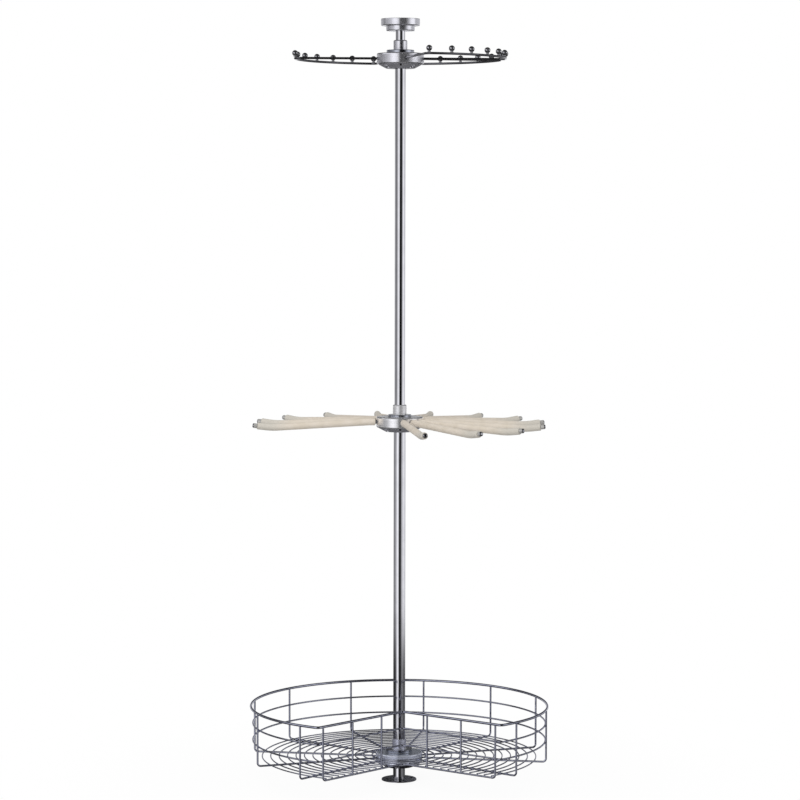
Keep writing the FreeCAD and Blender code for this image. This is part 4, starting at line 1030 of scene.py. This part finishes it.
nose_shares = [float(vertex.co.z > NOSE_LEVEL * MM) for vertex in cap_mesh.vertices]
cap_mesh.attributes.new("nose", "FLOAT", "POINT").data.foreach_set("value", nose_shares)
cap_foot = arm_tip + tip_back * CAP_LENGTH
cap_lean = (-tip_back).to_track_quat("Z", "Y").to_matrix().to_4x4()
cap_mesh.transform(Matrix.Translation(cap_foot * MM) @ cap_lean)
caps = ringed("trouser_arm_caps", cap_mesh, cap_lacquer, ARM_COUNT, ARM_FIRST, ARM_STEP)
fit(caps, "trouser_carousel", "dark_chrome", "trouser_end_caps")

# Basket rim and hoops: round steel wire, bent with a notch that runs in to the hub, and chromed.
# The rim is the thicker wire on top; the two hoops run inside the upright wires below it.
basket_wire = metal("basket_wire_chrome", (0.62, 0.64, 0.77, 1.0), 0.03, 0.05, (1100.0, 1100.0, 90.0))
basket = HUBS["basket"]
SPOKE_LEVEL = basket["base"] + basket["rod_level"]
BASKET_DEPTH = 122.5
RIM_LEVEL = SPOKE_LEVEL + BASKET_DEPTH
RIM_RADIUS = 347.0
RIM_WIRE = 6.0
RIM_STEPS = 200
HOOP_WIRE = 4.0
HOOP_PITCH = 39.5
RIB_WIRE = basket["rod"]
WELD_GAP = 0.15
HOOP_INSET = (RIB_WIRE + HOOP_WIRE) / 2 + WELD_GAP
SIDE_ANGLE = 47.5
side_slope = math.radians(SIDE_ANGLE)
NOTCH_OFFSET = 66.0
CORNER_BEND = 10.0
APEX_BEND = 10.5


def by_notch(along, offset, level, side):
    """A point by the notch's side line: along it from the pole, off it towards the notch."""
    return place(side * SIDE_ANGLE, along, level) + place(side * (SIDE_ANGLE - 90), offset, 0)


def corner_start(radius, offset):
    """Where the rounded corner between the notch's side and the big arc starts along the side."""
    return math.sqrt((radius - CORNER_BEND) ** 2 - (offset - CORNER_BEND) ** 2)


def round_run(radius, edge, level, steps):
    """Points round the pole, from one side of the notch to the other."""
    angles = [edge + (360 - 2 * edge) * step / steps for step in range(steps + 1)]
    return [place(angle, radius, level) for angle in angles]


def notched_run(level, inset):
    """The closed line of the rim or a hoop."""
    radius, offset = RIM_RADIUS - inset, NOTCH_OFFSET - inset
    start = corner_start(radius, offset)
    apex_along = (offset + APEX_BEND) / math.tan(side_slope)
    bends, apex_ends = {}, {}
    for side in (-1, 1):
        centre = by_notch(start, offset - CORNER_BEND, level, side)
        outwards = Vector((centre.x, centre.y, 0)).normalized()
        side_end = by_notch(start, offset, level, side)
        bends[side] = arc(centre, centre + outwards * CORNER_BEND, side_end, BEND_STEPS)
        apex_ends[side] = by_notch(apex_along, offset, level, side)
    arc_end = bends[1][0]
    edge_angle = math.degrees(math.atan2(arc_end.y, arc_end.x))
    big_arc = round_run(radius, edge_angle, level, RIM_STEPS)
    apex_centre = Vector(((offset + APEX_BEND) / math.sin(side_slope), 0, level))
    apex = arc(apex_centre, apex_ends[-1], apex_ends[1], BEND_STEPS)
    return big_arc + bends[-1] + apex + bends[1][::-1]


def basket_wires(name, runs, diameter, sides, replaced, **repeat):
    """Wires of the basket along runs of points, fitted for the node that they replace."""
    repeat.setdefault("first", basket["turn"])
    wires = drawn(name, wire_path(runs), diameter, basket_wire, sides=sides, **repeat)
    fit(wires, "basket_carousel", "basket_wire", replaced)


for drop, (hoop, inset, wire) in enumerate((
    ("basket_rim", 0, RIM_WIRE), ("basket_upper_hoop", HOOP_INSET, HOOP_WIRE),
    ("basket_lower_hoop", HOOP_INSET, HOOP_WIRE),
)):
    hoop_run = notched_run(RIM_LEVEL - HOOP_PITCH * drop, inset)
    basket_wires(f"{hoop}_wire", [hoop_run], wire, sides=18, replaced=hoop)

# Basket ribs: wires from sockets in the hub, under the floor and bent up to the rim's underside.
# One more wire makes both corner posts and the lower edge of the notch round the hub's front, and
# four straight posts stand on it. All are welded where they meet.
POST_TOP = RIM_LEVEL - RIM_WIRE / 2 - WELD_GAP
BASKET_BEND = 8.0
CORNER_SETBACK = 8.0
RIB_ANGLES = basket["angles"]
rib_run = bent_run([
    Vector((rod_root(basket), 0, SPOKE_LEVEL)), Vector((RIM_RADIUS, 0, SPOKE_LEVEL)),
    Vector((RIM_RADIUS, 0, POST_TOP)),
], (BASKET_BEND,))
basket_wires(
    "basket_rib_wires", [rib_run], RIB_WIRE, sides=16, replaced="basket_ribs",
    copies=len(RIB_ANGLES), first=basket["turn"] + NOTCH_HALF, step=RIB_STEP,
)

corner_along = corner_start(RIM_RADIUS, NOTCH_OFFSET) - CORNER_SETBACK
notch_apex = Vector((NOTCH_OFFSET / math.sin(side_slope), 0, SPOKE_LEVEL))
corner_posts = {
    side: [by_notch(corner_along, NOTCH_OFFSET, level, side) for level in (POST_TOP, SPOKE_LEVEL)]
    for side in (-1, 1)
}
notch_run = bent_run(
    corner_posts[-1] + [notch_apex] + corner_posts[1][::-1], (BASKET_BEND, APEX_BEND, BASKET_BEND),
)
basket_wires("basket_notch_edge_wire", [notch_run], RIB_WIRE, sides=16, replaced="basket_notch_wire")

POST_FOOT = SPOKE_LEVEL + RIB_WIRE / 2 + WELD_GAP
POST_PITCH = 96.3
post_spots = [(corner_along - POST_PITCH * number, side) for side in (-1, 1) for number in (1, 2)]
post_runs = [
    [by_notch(along, NOTCH_OFFSET, level, side) for level in (POST_FOOT, POST_TOP)]
    for along, side in post_spots
]
basket_wires("basket_side_post_wires", post_runs, RIB_WIRE, sides=16, replaced="basket_side_posts")

# Basket floor: thinner wires in arcs round the hub, laid across the ribs and ending on the notch wire.
# The two smallest are whole rings, and the others are spaced evenly out to the rim.
FLOOR_WIRE = 3.0
FLOOR_LEVEL = SPOKE_LEVEL + (RIB_WIRE + FLOOR_WIRE) / 2 + WELD_GAP
FLOOR_STEPS = 150
FIRST_ARC = 64.0
ARC_PITCH = 19.75
ARC_COUNT = 14
ARC_RADII = [FIRST_ARC + ARC_PITCH * index for index in range(ARC_COUNT)]
arc_edges = [
    SIDE_ANGLE - math.degrees(math.asin(NOTCH_OFFSET / radius)) if radius > notch_apex.x else 0.0
    for radius in ARC_RADII
]
arc_runs = [
    round_run(radius, edge, FLOOR_LEVEL, FLOOR_STEPS) for radius, edge in zip(ARC_RADII, arc_edges)
]
basket_wires("basket_floor_arc_wires", arc_runs, FLOOR_WIRE, sides=12, replaced="basket_floor_arcs")

# Weld nuggets: the small beads that resistance welding squeezes out wherever two of the wires cross.
# A node tree sets an uneven bead on each crossing, plated over with the wires.
BEAD_RADIUS = 1.75
BEAD_SEED = 7
END_BEAD_TURN = 0.25
WHOLE_TURN = (6.28, 6.28, 6.28)
BEAD_LEAST = (0.80, 0.80, 0.80)
BEAD_MOST = (1.15, 1.15, 1.15)
half_gap = WELD_GAP / 2
floor_seam = SPOKE_LEVEL + RIB_WIRE / 2 + half_gap
hoop_seam = RIM_RADIUS - RIB_WIRE / 2 - half_gap
side_seam = NOTCH_OFFSET - RIB_WIRE / 2 - half_gap
rim_seam = POST_TOP + half_gap
upright_spots = post_spots + [(corner_along, -1), (corner_along, 1)]


def on_ribs(radius, level):
    """A point on each rib."""
    return [place(angle, radius, level) for angle in RIB_ANGLES]


def on_uprights(spots, offset, level):
    """A point on each upright wire beside the notch."""
    return [by_notch(along, offset, level, side) for along, side in spots]


weld_spots = []
for radius, edge in zip(ARC_RADII, arc_edges):
    weld_spots += on_ribs(radius, floor_seam)
    if edge:
        weld_spots += [place(side * (edge + END_BEAD_TURN), radius, floor_seam) for side in (-1, 1)]
for level in (RIM_LEVEL - HOOP_PITCH, RIM_LEVEL - 2 * HOOP_PITCH):
    weld_spots += on_ribs(hoop_seam, level) + on_uprights(upright_spots, side_seam, level)
weld_spots += on_ribs(RIM_RADIUS, rim_seam) + on_uprights(upright_spots, NOTCH_OFFSET, rim_seam)
weld_spots += on_uprights(post_spots, NOTCH_OFFSET, floor_seam)

weld_tree, asked = new_tree("weld_nuggets", {
    "Spots": "Geometry", "Bead Radius": "Float", "Seed": "Int", "Finish": "Material",
})
bead = node(weld_tree, "GeometryNodeMeshIcoSphere", {"Radius": asked["Bead Radius"], "Subdivisions": 2})


def uneven(least, most):
    """Three numbers for each bead, drawn at random between two limits."""
    limits = {0: least, 1: most, "Seed": asked["Seed"]}
    return node(weld_tree, "FunctionNodeRandomValue", limits, data_type="FLOAT_VECTOR").outputs[0]


bead_lean = node(weld_tree, "FunctionNodeEulerToRotation", {0: uneven((0.0, 0.0, 0.0), WHOLE_TURN)})
beads_set = node(weld_tree, "GeometryNodeInstanceOnPoints", {
    "Points": asked["Spots"], "Instance": bead.outputs[0], "Rotation": bead_lean.outputs[0],
    "Scale": uneven(BEAD_LEAST, BEAD_MOST),
})
end_tree(weld_tree, beads_set.outputs[0], asked["Finish"])
weld_points = bpy.data.meshes.new("weld_points")
weld_points.from_pydata([around(basket["turn"]) @ (spot * MM) for spot in weld_spots], [], [])
nuggets = grown("basket_weld_nuggets", weld_tree, weld_points, {
    "Bead Radius": BEAD_RADIUS * MM, "Seed": BEAD_SEED, "Finish": basket_wire,
})
fit(nuggets, "basket_carousel", "basket_wire")


# Inner works: nylon bushes and lock plugs, steel support rings and grub screws inside pole and hubs.
# Little or nothing of them shows when the rack is whole, and they keep their CAD shapes.
def moulded(name, colour):
    """Plain moulded nylon: a faint mottle and a fine spark-eroded grain."""
    paint, tree, shader, spot = new_paint(name, {})
    mottle = noise(tree, spot, scale=160.0, detail=3.0)
    grain = noise(tree, spot, scale=2600.0, detail=2.0)
    tone = blended(tree, stepped(tree, mottle, 0.35, 0.65), colour, dimmed(colour, 0.93))
    gloss = stepped(tree, grain, 0.3, 0.7, 0.42, 0.55)
    surfaced(tree, shader, tone, gloss, grain, strength=0.2, distance=0.00005)
    return paint


nylon = moulded("white_nylon", (0.78, 0.78, 0.75, 1.0))
INNER_FINISHES = {
    nylon: ("middle_lock_plug", "upper_lock_plug", "hanger_bush", "trouser_bush", "basket_bush"),
    zinc: (
        "ceiling_screw", "support_screws", "hanger_support_screws", "hanger_support_ring",
        "trouser_support_ring", "basket_support_ring",
    ),
}
for finish, inner_nodes in INNER_FINISHES.items():
    for inner in inner_nodes:
        inner_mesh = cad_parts[inner].data
        inner_mesh.materials.clear()
        inner_mesh.materials.append(finish)
